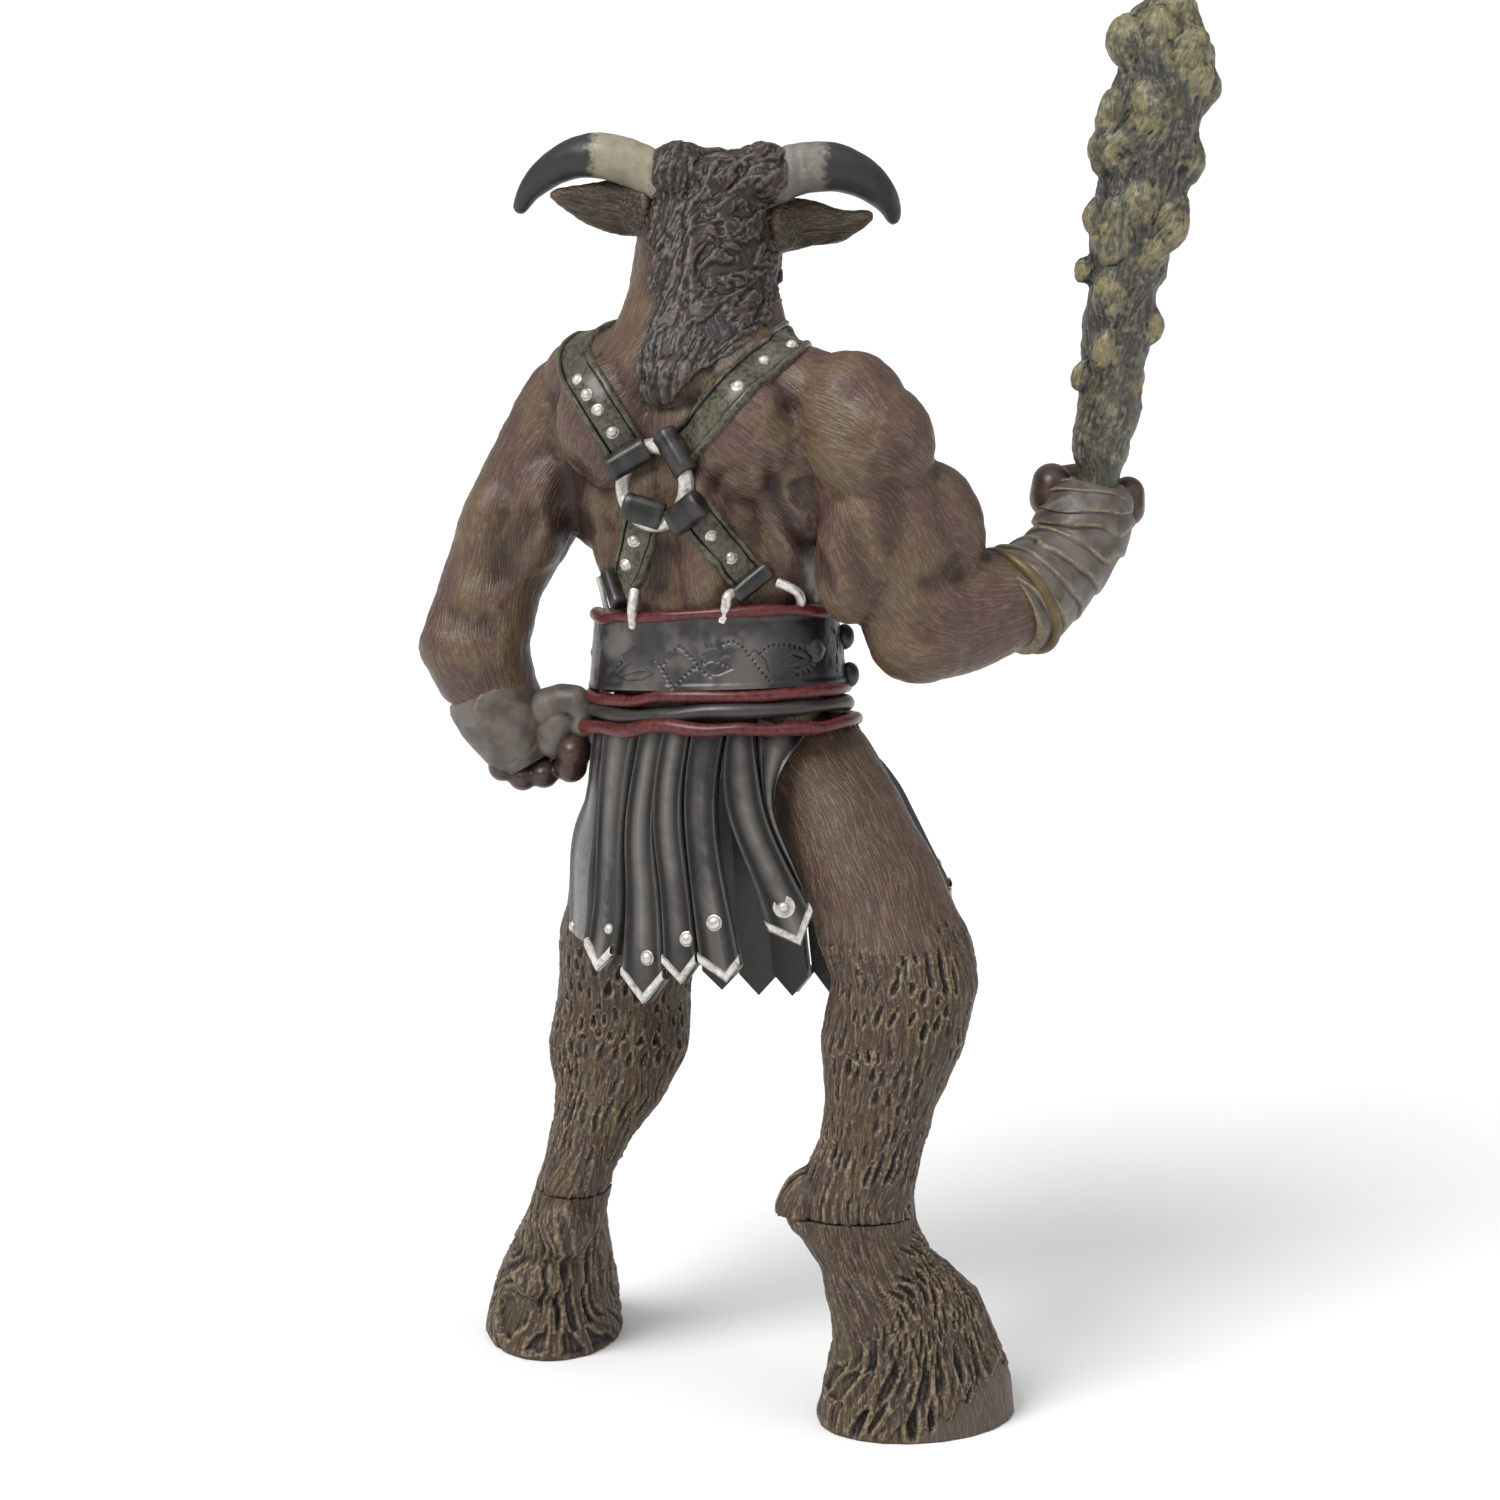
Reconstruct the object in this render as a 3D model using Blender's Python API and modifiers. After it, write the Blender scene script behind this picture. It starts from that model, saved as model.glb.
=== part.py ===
"""Minotaur statue: a painted plastic toy figurine of a bull-headed man in a harness and a skirt of leather
strips, one fist on the hip and a branch club in the other hand. +Y is the way the head faces, +X is the
figure's right, and it stands on two hooves on the floor plane."""

import math

import bmesh
import bpy
import numpy as np
from mathutils import Euler, Matrix, Vector
from mathutils.bvhtree import BVHTree

# Driving dimensions. Every other length is in units of the height, which is 139 units to the top of the club.
HEIGHT = 0.139
UNIT = HEIGHT / 139
CHEST_YAW = -30  # degrees, the way the trunk is turned from the way the head faces
TRUNK_BASE = Vector((-3.0, 0.5, 67.0))
TRUNK_LEAN = (-0.035, 0.07)  # how far the middle of the trunk moves for each unit of height
SEAM_GAP = 0.3
RIGHT_SEAM = 22.4
LEFT_SEAM = 18.5
VOXEL = 0.62
FIGURE_TRIANGLES = 3500
LEG_TRIANGLES = 1000
CLUB_TRIANGLES = 760

BELT_HALF_WIDTH = 12.4
BELT_HALF_DEPTH = 9.8
BELT_TILT = 9
BELT_MIDDLE = 74.2
BELT_HEIGHT = 9.0
PIPING_HEIGHTS = (79.2, 71.0, 68.0)
PIPING_RADIUS = 0.65

STRIP_ANGLES = (-166, -148, -130, -112, -94, -76, -58, -41, -23, -6, 10, 24, 50, 66, 118, 134, 150, 168, 184)
STRIP_WIDTH = 4.3
STRIP_THICKNESS = 1.1
STRIP_TOP = 69.0
STRIP_HEM = 43.5
STRIP_POINT = 2.2
HEM_HALF_WIDTH = 17.0
HEM_HALF_DEPTH = 13.2

STRAP_WIDTH = 3.3
STRAP_PROUD = 0.75
STRAP_SUNK = 1.0
RING_RADIUS = 3.35
RING_WIRE = 0.6

PAINTS = {
    "skin": ("#66534A", 0.55),
    "wood": ("#6B6551", 0.6),
}


def clear_scene():
    for obj in list(bpy.data.objects):
        bpy.data.objects.remove(obj, do_unlink=True)


def collection(name, hidden=False):
    made = bpy.data.collections.new(name)
    bpy.context.scene.collection.children.link(made)
    made.hide_render = hidden
    return made


def linear(channel):
    return channel / 12.92 if channel <= 0.04045 else ((channel + 0.055) / 1.055) ** 2.4


def paint(slot):
    """The slot's Principled material, made once."""
    made = bpy.data.materials.get(slot)
    if made:
        return made
    colour, roughness = PAINTS[slot]
    made = bpy.data.materials.new(slot)
    made.use_nodes = True
    shader = made.node_tree.nodes["Principled BSDF"]
    channels = [linear(int(colour[i : i + 2], 16) / 255) for i in (1, 3, 5)]
    shader.inputs["Base Color"].default_value = (*channels, 1)
    shader.inputs["Roughness"].default_value = roughness
    return made


def object_of(bm, name, home):
    bmesh.ops.recalc_face_normals(bm, faces=bm.faces[:])
    mesh = bpy.data.meshes.new(name)
    bm.to_mesh(mesh)
    bm.free()
    obj = bpy.data.objects.new(name, mesh)
    home.objects.link(obj)
    if home.hide_render:
        obj.hide_render = True
        obj.display_type = "WIRE"
    return obj


def applied(obj):
    """Puts what the modifiers make in place of the object's mesh."""
    graph = bpy.context.evaluated_depsgraph_get()
    mesh = bpy.data.meshes.new_from_object(obj.evaluated_get(graph))
    obj.modifiers.clear()
    obj.data = mesh
    return obj


def trunk(side, forward, height):
    """A point of the trunk: side is towards the figure's right, forward is towards the chest."""
    rise = height - TRUNK_BASE.z
    offset = Vector((side, forward, 0))
    offset.rotate(Euler((0, 0, math.radians(CHEST_YAW))))
    lean = Vector((TRUNK_LEAN[0] * rise, TRUNK_LEAN[1] * rise, rise))
    return TRUNK_BASE + offset + lean


def ball(bm, centre, radii, turn=(0, 0, 0)):
    """An ellipsoid, turned by degrees about X, Y and Z."""
    turned = Euler([math.radians(a) for a in turn]).to_matrix().to_4x4()
    matrix = Matrix.Translation(centre) @ turned @ Matrix.Diagonal((*radii, 1))
    return bmesh.ops.create_icosphere(bm, subdivisions=3, radius=1, matrix=matrix)["verts"]


def link(bm, start, end, turn=(0, 0, 0)):
    """The hull of two ellipsoids, each a centre and radii: one stretch of a limb or one muscle."""
    part = bmesh.new()
    for centre, radii in (start, end):
        ball(part, centre, radii if isinstance(radii, tuple) else (radii,) * 3, turn)
    found = bmesh.ops.convex_hull(part, input=part.verts[:])
    inside = [v for v in found["geom_interior"] if isinstance(v, bmesh.types.BMVert)]
    bmesh.ops.delete(part, geom=inside, context="VERTS")
    mesh = bpy.data.meshes.new("stretch")
    part.to_mesh(mesh)
    part.free()
    bm.from_mesh(mesh)
    bpy.data.meshes.remove(mesh)


def chain(bm, stations, turn=(0, 0, 0)):
    for start, end in zip(stations, stations[1:]):
        link(bm, start, end, turn)


TRUNK_TURN = (0, 0, CHEST_YAW)

RIGHT_LEG = [
    ((5.5, -2.5, 65.0), (6.8, 6.5, 5)),
    ((8.4, -5.0, 61.5), (6.4, 6.6, 4)),
    ((11.2, -8.0, 55.5), (7.1, 7.0, 4)),
    ((14.0, -11.0, 49.6), (7.3, 6.8, 4)),
    ((15.3, -13.0, 45.5), (7.0, 6.4, 3.5)),
    ((14.0, -14.5, 39.7), (7.0, 5.8, 3)),
    ((12.9, -15.0, 33.7), (5.4, 4.9, 3)),
    ((11.9, -15.5, 28.9), (4.9, 4.4, 3)),
    ((10.2, -15.8, 24.2), (5.7, 4.3, 2.6)),
    ((10.6, -15.6, 20.6), (5.8, 4.4, 2)),
    ((12.6, -15.2, 17.0), (5.6, 4.6, 2)),
    ((15.4, -14.4, 12.6), (7.6, 5.2, 2)),
    ((16.4, -13.8, 8.4), (8.2, 5.8, 2)),
    ((16.9, -13.4, 4.0), (9.6, 6.8, 1.6)),
    ((16.7, -13.0, -0.4), (10.2, 7.8, 1.6)),
]
LEFT_LEG = [
    ((-9.0, 2.5, 65.0), (6.5, 6.5, 5)),
    ((-11.0, 5.5, 55.0), (6.8, 7.0, 4)),
    ((-12.6, 8.8, 44.0), (6.8, 7.0, 4)),
    ((-13.1, 9.6, 37.0), (6.7, 6.6, 3)),
    ((-13.6, 8.6, 32.5), (7.3, 6.0, 3)),
    ((-14.4, 6.8, 28.2), (5.5, 5.4, 3)),
    ((-16.1, 5.0, 24.6), (4.0, 4.8, 3)),
    ((-17.8, 3.8, 20.4), (3.6, 4.8, 2)),
    ((-18.9, 4.2, 15.2), (3.9, 4.7, 2)),
    ((-19.8, 7.0, 10.8), (5.0, 5.4, 2)),
    ((-20.3, 9.4, 6.2), (6.1, 7.4, 2)),
    ((-20.6, 10.6, 3.0), (6.8, 9.0, 1.6)),
    ((-20.6, 11.0, -0.4), (7.1, 9.8, 1.6)),
]
SOLE_TURNS = {"right": (0, 0, 18), "left": (0, 0, -4)}
RIGHT_ARM = [
    (trunk(16.5, -1.0, 100.1), (5.8, 5.8, 6.4)),
    ((13.4, -7.6, 90.0), (6.4, 6.0, 6.0)),
    ((16.4, -8.4, 78.7), (5.0, 4.8, 4.8)),
    ((21.0, -5.5, 80.6), (5.6, 5.6, 6.0)),
    ((27.4, -2.5, 82.0), (4.5, 4.6, 4.8)),
    ((31.2, 1.0, 85.4), (3.8, 3.8, 3.8)),
]
LEFT_ARM = [
    (trunk(-16.6, -0.5, 97.6), (4.8, 5.0, 6.0)),
    ((-23.2, 10.2, 87.0), (6.1, 5.4, 5.0)),
    ((-26.2, 8.4, 80.5), (5.3, 4.8, 4.0)),
    ((-27.9, 6.6, 74.6), (5.7, 4.6, 4.0)),
    ((-26.8, 7.0, 71.4), (5.2, 4.6, 3.6)),
    ((-24.8, 6.4, 68.0), (4.4, 4.2, 3.2)),
    ((-21.4, 5.6, 65.2), (5.0, 4.2, 3.6)),
    ((-18.4, 4.8, 66.0), (3.0, 3.4, 3.4)),
]
FIST = [((30.6, 2.4, 90.4), (2.6, 4.2, 3.0)), ((32.0, 1.5, 88.6), (3.2, 4.8, 3.8)), ((36.0, 3.5, 88.8), (3.0, 4.6, 3.6))]
CLUB_AXIS = [
    ((34.2, 3.6, 84.0), 2.0),
    ((34.7, 3.7, 92.6), 2.1),
    ((35.0, 3.8, 96.0), 2.8),
    ((35.6, 4.0, 100.0), 3.0),
    ((36.2, 4.0, 105.0), 3.3),
    ((36.5, 4.0, 110.0), 3.5),
    ((37.3, 4.0, 115.0), 4.1),
    ((38.1, 4.0, 120.0), 4.0),
    ((38.8, 4.0, 124.4), 4.8),
    ((39.3, 4.0, 128.0), 4.8),
    ((40.6, 4.0, 131.6), 4.6),
    ((40.0, 4.0, 135.0), 4.1),
    ((40.5, 4.0, 137.4), 1.7),
]
CLUB_KNOTS = [
    ((40.0, 1.6, 116.6), 2.6),
    ((35.8, 2.6, 122.6), 2.2),
    ((42.0, 2.4, 124.6), 2.2),
    ((37.4, 1.4, 129.6), 2.4),
    ((42.4, 2.6, 131.0), 2.6),
    ((37.8, 2.8, 136.2), 1.9),
    ((38.4, 1.6, 107.6), 1.7),
    ((34.6, 1.8, 111.6), 1.6),
]
GRIP_AXIS = ((34.05, 3.56, 81.0), (34.75, 3.72, 94.0))
HORNS = [
    [
        ((-8.5, 8.5, 121.2), 2.2),
        ((-11.6, 8.8, 123.0), 2.2),
        ((-14.9, 9.0, 123.8), 2.0),
        ((-18.4, 10.0, 123.1), 1.7),
        ((-21.5, 11.2, 121.0), 1.2),
        ((-23.0, 12.0, 118.1), 0.4),
    ],
    [
        ((0.8, 8.5, 121.0), 2.3),
        ((4.4, 8.8, 122.6), 2.4),
        ((8.2, 9.0, 123.0), 2.25),
        ((11.4, 10.0, 121.8), 1.8),
        ((13.5, 11.2, 119.8), 1.2),
        ((14.2, 12.0, 116.9), 0.4),
    ],
]
EARS = [
    [((-10.2, 9.4, 117.4), (1.4, 1.1, 1.5)), ((-14.6, 9.4, 118.0), (1.8, 0.8, 1.8)), ((-19.0, 9.4, 120.0), 0.35)],
    [((2.8, 9.4, 116.6), (1.4, 1.1, 1.6)), ((6.8, 9.4, 116.6), (1.8, 0.8, 2.1)), ((11.5, 9.4, 117.4), 0.35)],
]
MANE = [
    ((-3.4, 7.4, 122.4), (4.6, 3.6, 2.6)),
    ((-4.2, 1.4, 116.6), (5.6, 3.0, 4.4)),
    ((-4.8, -0.6, 111.4), (5.2, 3.0, 4.0)),
    ((-6.2, -3.4, 106.4), (3.8, 2.8, 3.4)),
    ((-8.0, -6.4, 102.8), (1.9, 1.9, 2.2)),
]
LOCKS_A_SIDE = 6


def add_trunk(bm):
    ball(bm, trunk(0, 0, 71), (11.2, 9.0, 8.5), TRUNK_TURN)
    hips = (trunk(0, 0, 76), (11.0, 8.4, 5))
    ribs = (trunk(0, 0.5, 88), (12.2, 9.2, 6))
    chest = (trunk(0, 1.0, 98), (13.2, 9.2, 6.5))
    chain(bm, [hips, ribs, chest], TRUNK_TURN)
    for side in (-1, 1):
        link(bm, (trunk(11 * side, -2.0, 97), (5.2, 5.2, 6)), (trunk(8.6 * side, -1.0, 84), (3.2, 5, 4)), TRUNK_TURN)
        link(bm, (trunk(4 * side, -1.5, 103.4), (5, 5.4, 5)), (trunk(13 * side, -1, 102), (4.4, 4.6, 4)), TRUNK_TURN)
        ball(bm, trunk(7.6 * side, -7.4, 97.5), (5.2, 3.2, 6.2), TRUNK_TURN)
        ball(bm, trunk(3.2 * side, -7.6, 86), (2.6, 2.2, 8), TRUNK_TURN)
        ball(bm, trunk(6.4 * side, 7.8, 96), (6.8, 3.8, 5.6), TRUNK_TURN)
    link(bm, ((-14.6, 6.6, 96.0), 5.2), ((-14.8, 7.4, 87.6), (3.2, 4.4, 3.4)))
    for side in (-1, 1):
        for row in range(3):
            ball(bm, trunk(2.9 * side, 8.4, 88.5 - 4.2 * row), (2.9, 2.4, 2.3), TRUNK_TURN)


def add_head(bm):
    neck = [
        ((-5.0, 3.0, 103.6), (9.8, 8.6, 5)),
        ((-4.6, 7.0, 110.0), (7.5, 8.0, 5)),
        ((-4.1, 11.0, 116.4), (7.1, 8.6, 6.4)),
    ]
    chain(bm, neck)
    muzzle = [
        ((-3.9, 13.0, 117.0), (6.6, 7.4, 6.6)),
        ((-3.9, 21.0, 111.6), (4.9, 5.0, 4.8)),
        ((-3.9, 26.6, 107.4), (4.3, 3.4, 3.6)),
    ]
    chain(bm, muzzle)
    for x in (-7.2, 1.0):
        ball(bm, (x, 8.6, 122.2), (3.3, 3.8, 3.4))
        ball(bm, (x * 0.82 - 0.6, 18.6, 116.6), (2.0, 3.0, 1.8))
    chain(bm, MANE)
    for step in range(LOCKS_A_SIDE):
        share = step / (LOCKS_A_SIDE - 1)
        top = Vector((-3.9 - 2.6 * share, 0.6 - 4.4 * share, 119.0 - 13.0 * share))
        for side in (-1, 1):
            reach = 5.2 - 2.6 * share
            out = (top + Vector((side * reach, 1.6, -3.4)), 0.9)
            link(bm, (top + Vector((side * 0.6, -1.6, 0.6)), 1.1), out)


def leg_shape(home, side, name):
    stations = RIGHT_LEG if side == "right" else LEFT_LEG
    bm = bmesh.new()
    chain(bm, stations[:-4])
    chain(bm, stations[-5:], SOLE_TURNS[side])
    if side == "right":
        ball(bm, (5.4, -15.8, 22.2), (2.6, 2.8, 3.6), (0, 28, 0))
        ball(bm, (21.4, -12.4, 12.6), (2.2, 3.8, 1.8), (0, 30, 0))
    else:
        ball(bm, (-19.0, 0.8, 14.8), (2.6, 2.4, 3.6), (20, 0, 0))
        ball(bm, (-21.4, 3.6, 8.6), (3.4, 2.8, 2.4))
    return object_of(bm, name, home)


def cut_box(home, name, low, high):
    bm = bmesh.new()
    size = [b - a for a, b in zip(low, high)]
    middle = [(a + b) / 2 for a, b in zip(low, high)]
    matrix = Matrix.Translation(middle) @ Matrix.Diagonal((*size, 1))
    bmesh.ops.create_cube(bm, size=1, matrix=matrix)
    return object_of(bm, name, home)


def boolean(obj, operation, other):
    modifier = obj.modifiers.new(operation.title(), "BOOLEAN")
    modifier.operation = operation
    modifier.solver = "EXACT"
    if isinstance(other, bpy.types.Collection):
        modifier.operand_type = "COLLECTION"
        modifier.collection = other
    else:
        modifier.object = other
    return applied(obj)


def fuse(obj, voxel, smoothing, triangles):
    """Makes the overlapping shapes one skin, softens it and thins its triangles."""
    remesh = obj.modifiers.new("Remesh", "REMESH")
    remesh.mode = "VOXEL"
    remesh.voxel_size = voxel
    smooth = obj.modifiers.new("Smooth", "SMOOTH")
    smooth.iterations = smoothing
    applied(obj)
    thin = obj.modifiers.new("Decimate", "DECIMATE")
    thin.ratio = min(1, triangles / (2 * len(obj.data.polygons)))
    thin.use_collapse_triangulate = True
    return applied(obj)


def ring_band(home, name, height, half_height, grow):
    """A short elliptical cylinder round the trunk, tilted as the belt is."""
    bm = bmesh.new()
    scale = (BELT_HALF_WIDTH + grow, BELT_HALF_DEPTH + grow, 1)
    bmesh.ops.create_cone(
        bm, cap_ends=True, segments=36, radius1=1, radius2=1, depth=2 * half_height,
        matrix=belt_matrix(height) @ Matrix.Diagonal((*scale, 1)),
    )
    return object_of(bm, name, home)


def belt_matrix(height):
    turned = Euler((math.radians(-BELT_TILT), 0, 0)).to_matrix().to_4x4()
    yawed = Euler((0, 0, math.radians(CHEST_YAW))).to_matrix().to_4x4()
    return Matrix.Translation(trunk(0, 0, height)) @ turned @ yawed


def piping(home, name, height):
    """A thin roll round the belt: a circle swept round an ellipse."""
    bm = bmesh.new()
    around, sides = 28, 5
    rows = []
    for i in range(around):
        angle = 2 * math.pi * i / around
        row = []
        for j in range(sides):
            turn = 2 * math.pi * j / sides
            out = PIPING_RADIUS * math.cos(turn) + 0.25
            x = (BELT_HALF_WIDTH + out) * math.cos(angle)
            y = (BELT_HALF_DEPTH + out) * math.sin(angle)
            row.append(bm.verts.new((x, y, PIPING_RADIUS * math.sin(turn))))
        rows.append(row)
    for i in range(around):
        for j in range(sides):
            after, beside = (i + 1) % around, (j + 1) % sides
            bm.faces.new((rows[i][j], rows[after][j], rows[after][beside], rows[i][beside]))
    bm.transform(belt_matrix(height))
    return object_of(bm, name, home)


def skirt_point(angle, share, out=0.0):
    """A point of the skirt: share is 0 at the belt and 1 at the hem, out is away from the figure."""
    a = math.radians(angle)
    width = BELT_HALF_WIDTH - 1.2 + (HEM_HALF_WIDTH - BELT_HALF_WIDTH + 1.2) * share + out
    depth = BELT_HALF_DEPTH - 1.2 + (HEM_HALF_DEPTH - BELT_HALF_DEPTH + 1.2) * share + out
    height = STRIP_TOP + (STRIP_HEM - STRIP_TOP) * share
    place = trunk(width * math.sin(a), -depth * math.cos(a), height)
    place.z += 2.6 * math.sin(a) * share
    if 90 < angle < 140:
        place += Vector((5.5, 1.5, 3.0)) * share
    return place


def skirt_strip(home, name, angle, lift):
    """One hanging leather strip with a pointed end, as a bent slab."""
    bm = bmesh.new()
    shares = (0.0, 0.35, 0.7, 0.94)
    rows = []
    for share in shares:
        inner, outer = skirt_point(angle, share, lift), skirt_point(angle, share, lift + STRIP_THICKNESS)
        along = (skirt_point(angle + 2, share) - skirt_point(angle - 2, share)).normalized()
        half = STRIP_WIDTH / 2 * (0.82 + 0.18 * share)
        corners = (inner - along * half, inner + along * half, outer + along * half, outer - along * half)
        rows.append([bm.verts.new(c) for c in corners])
    low, high = skirt_point(angle, 0.94 + STRIP_POINT / 25, lift), skirt_point(angle, 0.94 + STRIP_POINT / 25, lift + STRIP_THICKNESS)
    for one, two in zip(rows, rows[1:]):
        for j in range(4):
            bm.faces.new((one[j], one[(j + 1) % 4], two[(j + 1) % 4], two[j]))
    tip_in, tip_out = bm.verts.new(low), bm.verts.new(high)
    end = rows[-1]
    bm.faces.new(rows[0])
    bm.faces.new((end[0], end[1], tip_in))
    bm.faces.new((end[2], end[3], tip_out))
    bm.faces.new((end[1], end[2], tip_out, tip_in))
    bm.faces.new((end[3], end[0], tip_in, tip_out))
    return object_of(bm, name, home)


def surface_tree(obj):
    graph = bpy.context.evaluated_depsgraph_get()
    return BVHTree.FromObject(obj, graph)


def on_back(tree, side, height):
    """The skin's point and normal behind this place of the trunk."""
    inward = trunk(0, 1, height) - trunk(0, 0, height)
    start = trunk(side, -30, height)
    place, normal, _, _ = tree.ray_cast(start, inward)
    if place is None:
        place, normal, _, _ = tree.find_nearest(trunk(side, -3, height))
    return place, normal


def strap(home, name, tree, start, end, steps=7):
    """A flat strap laid on the back between two (side, height) places of the trunk."""
    bm = bmesh.new()
    rows = []
    places = []
    for i in range(steps):
        share = i / (steps - 1)
        spot = [a + (b - a) * share for a, b in zip(start, end)]
        places.append(on_back(tree, *spot))
    for _ in range(3):
        inner = [[(a[k] + b[k] + c[k]) / 3 for k in range(2)] for a, b, c in zip(places, places[1:], places[2:])]
        places = [places[0], *inner, places[-1]]
    for i, (place, normal) in enumerate(places):
        before, after = places[max(0, i - 1)][0], places[min(steps - 1, i + 1)][0]
        across = (after - before).cross(normal).normalized() * (STRAP_WIDTH / 2)
        low, high = place - normal * STRAP_SUNK, place + normal * STRAP_PROUD
        rows.append([bm.verts.new(c) for c in (low - across, low + across, high + across, high - across)])
    for one, two in zip(rows, rows[1:]):
        for j in range(4):
            bm.faces.new((one[j], one[(j + 1) % 4], two[(j + 1) % 4], two[j]))
    bm.faces.new(rows[0])
    bm.faces.new(rows[-1])
    return object_of(bm, name, home)


def back_ring(home, name, tree):
    """The harness ring, lying on the middle of the back."""
    place, normal = on_back(tree, -0.6, 93.6)
    bm = bmesh.new()
    around, sides = 20, 6
    rows = []
    for i in range(around):
        angle = 2 * math.pi * i / around
        row = []
        for j in range(sides):
            turn = 2 * math.pi * j / sides
            out = RING_RADIUS + RING_WIRE * math.cos(turn)
            row.append(bm.verts.new((out * math.cos(angle), out * math.sin(angle), RING_WIRE * math.sin(turn))))
        rows.append(row)
    for i in range(around):
        for j in range(sides):
            after, beside = (i + 1) % around, (j + 1) % sides
            bm.faces.new((rows[i][j], rows[after][j], rows[after][beside], rows[i][beside]))
    turned = normal.to_track_quat("Z", "Y").to_matrix().to_4x4()
    bm.transform(Matrix.Translation(place + normal * 0.9) @ turned)
    return object_of(bm, name, home)


def tapered(home, name, stations):
    """A closed horn, ear or other spike whose stretches are fused."""
    bm = bmesh.new()
    chain(bm, stations)
    obj = object_of(bm, name, home)
    return fuse(obj, 0.32, 4, 130)


def build():
    clear_scene()
    home = collection("minotaur_statue")
    tools = collection("cutters", hidden=True)
    added = collection("added_shapes", hidden=True)

    bm = bmesh.new()
    add_trunk(bm)
    add_head(bm)
    chain(bm, RIGHT_ARM)
    chain(bm, LEFT_ARM)
    chain(bm, FIST)
    ball(bm, (10.8, -9.6, 88.0), (4.6, 4.8, 8.0), (0, 12, 0))
    ball(bm, (18.0, -6.4, 89.2), (4.8, 4.8, 6.6), (0, -14, 0))
    chain(bm, RIGHT_LEG[:10])
    chain(bm, LEFT_LEG[:9])
    ball(bm, (5.4, -15.8, 23.4), (2.6, 2.8, 3.6), (0, 28, 0))
    figure = object_of(bm, "minotaur", home)
    fuse(figure, VOXEL, 5, FIGURE_TRIANGLES)

    tree = surface_tree(figure)
    strap(added, "strap_upper_left", tree, (-13.0, 104.0), (-3.0, 96.4))
    strap(added, "strap_upper_right", tree, (14.5, 106.0), (2.4, 96.8))
    strap(added, "strap_lower_left", tree, (-3.0, 91.0), (-5.4, 80.0))
    strap(added, "strap_lower_right", tree, (2.4, 91.0), (8.0, 80.0))
    back_ring(added, "harness_ring", tree)
    ring_band(added, "belt", BELT_MIDDLE, BELT_HEIGHT / 2 + 1.2, 0.0)
    for number, height in enumerate(PIPING_HEIGHTS):
        piping(added, f"piping_{number}", height)
    for number, angle in enumerate(STRIP_ANGLES):
        skirt_strip(added, f"strip_{number}", angle, 0.45 * (number % 2))
    for number, stations in enumerate(HORNS):
        tapered(added, f"horn_{number}", stations)
    for number, stations in enumerate(EARS):
        tapered(added, f"ear_{number}", stations)
    boolean(figure, "UNION", added)

    grip = bmesh.new()
    link(grip, (GRIP_AXIS[0], 2.0 + SEAM_GAP), (GRIP_AXIS[1], 2.1 + SEAM_GAP))
    boolean(figure, "DIFFERENCE", object_of(grip, "grip_hole", tools))
    boolean(figure, "DIFFERENCE", cut_box(tools, "below_right", (0, -40, -5), (40, 0, RIGHT_SEAM)))
    boolean(figure, "DIFFERENCE", cut_box(tools, "below_left", (-40, -20, -5), (0, 40, LEFT_SEAM)))

    legs = []
    for side, seam, low in (("right", RIGHT_SEAM, (0, -40)), ("left", LEFT_SEAM, (-40, -20))):
        leg = leg_shape(home, side, f"{side}_lower_leg")
        fuse(leg, 0.5, 4, LEG_TRIANGLES)
        high = (low[0] + 40, low[1] + 60)
        keep = cut_box(tools, f"keep_{side}", (*low, 0.0), (*high, seam - SEAM_GAP))
        boolean(leg, "INTERSECT", keep)
        legs.append(leg)

    bm = bmesh.new()
    chain(bm, CLUB_AXIS)
    for centre, radius in CLUB_KNOTS:
        ball(bm, centre, (radius, radius * 0.8, radius * 1.2))
    club = object_of(bm, "club", home)
    fuse(club, 0.5, 3, CLUB_TRIANGLES)

    parts = [figure, *legs, club]
    points = np.array([v.co for part in parts for v in part.data.vertices])
    low, high = points.min(axis=0), points.max(axis=0)
    shift = Vector((-(low[0] + high[0]) / 2, -(low[1] + high[1]) / 2, -low[2]))
    slots = ("skin", "skin", "skin", "wood")
    for part, slot in zip(parts, slots):
        part.data.transform(Matrix.Scale(UNIT, 4) @ Matrix.Translation(shift))
        part.data.materials.clear()
        part.data.materials.append(paint(slot))
        part.data.shade_smooth()
    print("moved by", [round(v, 2) for v in shift])


build()
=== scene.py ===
"""A painted plastic toy minotaur, seen from behind: bare back with a leather harness and ring, tooled belt,
skirt of leather strips, wrapped forearms, a branch club and furred legs. Lengths are in millimetres."""

import math

import bpy
import numpy as np
from mathutils import Euler, Matrix, Vector
from mathutils.bvhtree import BVHTree


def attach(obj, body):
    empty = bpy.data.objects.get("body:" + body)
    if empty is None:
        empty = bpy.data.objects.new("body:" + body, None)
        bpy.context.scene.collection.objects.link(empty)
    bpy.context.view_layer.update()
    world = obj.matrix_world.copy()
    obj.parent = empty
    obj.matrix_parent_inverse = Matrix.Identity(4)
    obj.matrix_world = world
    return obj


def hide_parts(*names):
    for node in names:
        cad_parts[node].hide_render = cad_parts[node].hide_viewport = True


bl_info = {
    "name": "Toy minotaur",
    "version": (1, 0, 0),
    "blender": (4, 5, 0),
    "location": "View3D > Sidebar > Toy minotaur",
    "description": "Models and paints a plastic minotaur figurine piece by piece",
    "category": "Add Mesh",
}

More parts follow.
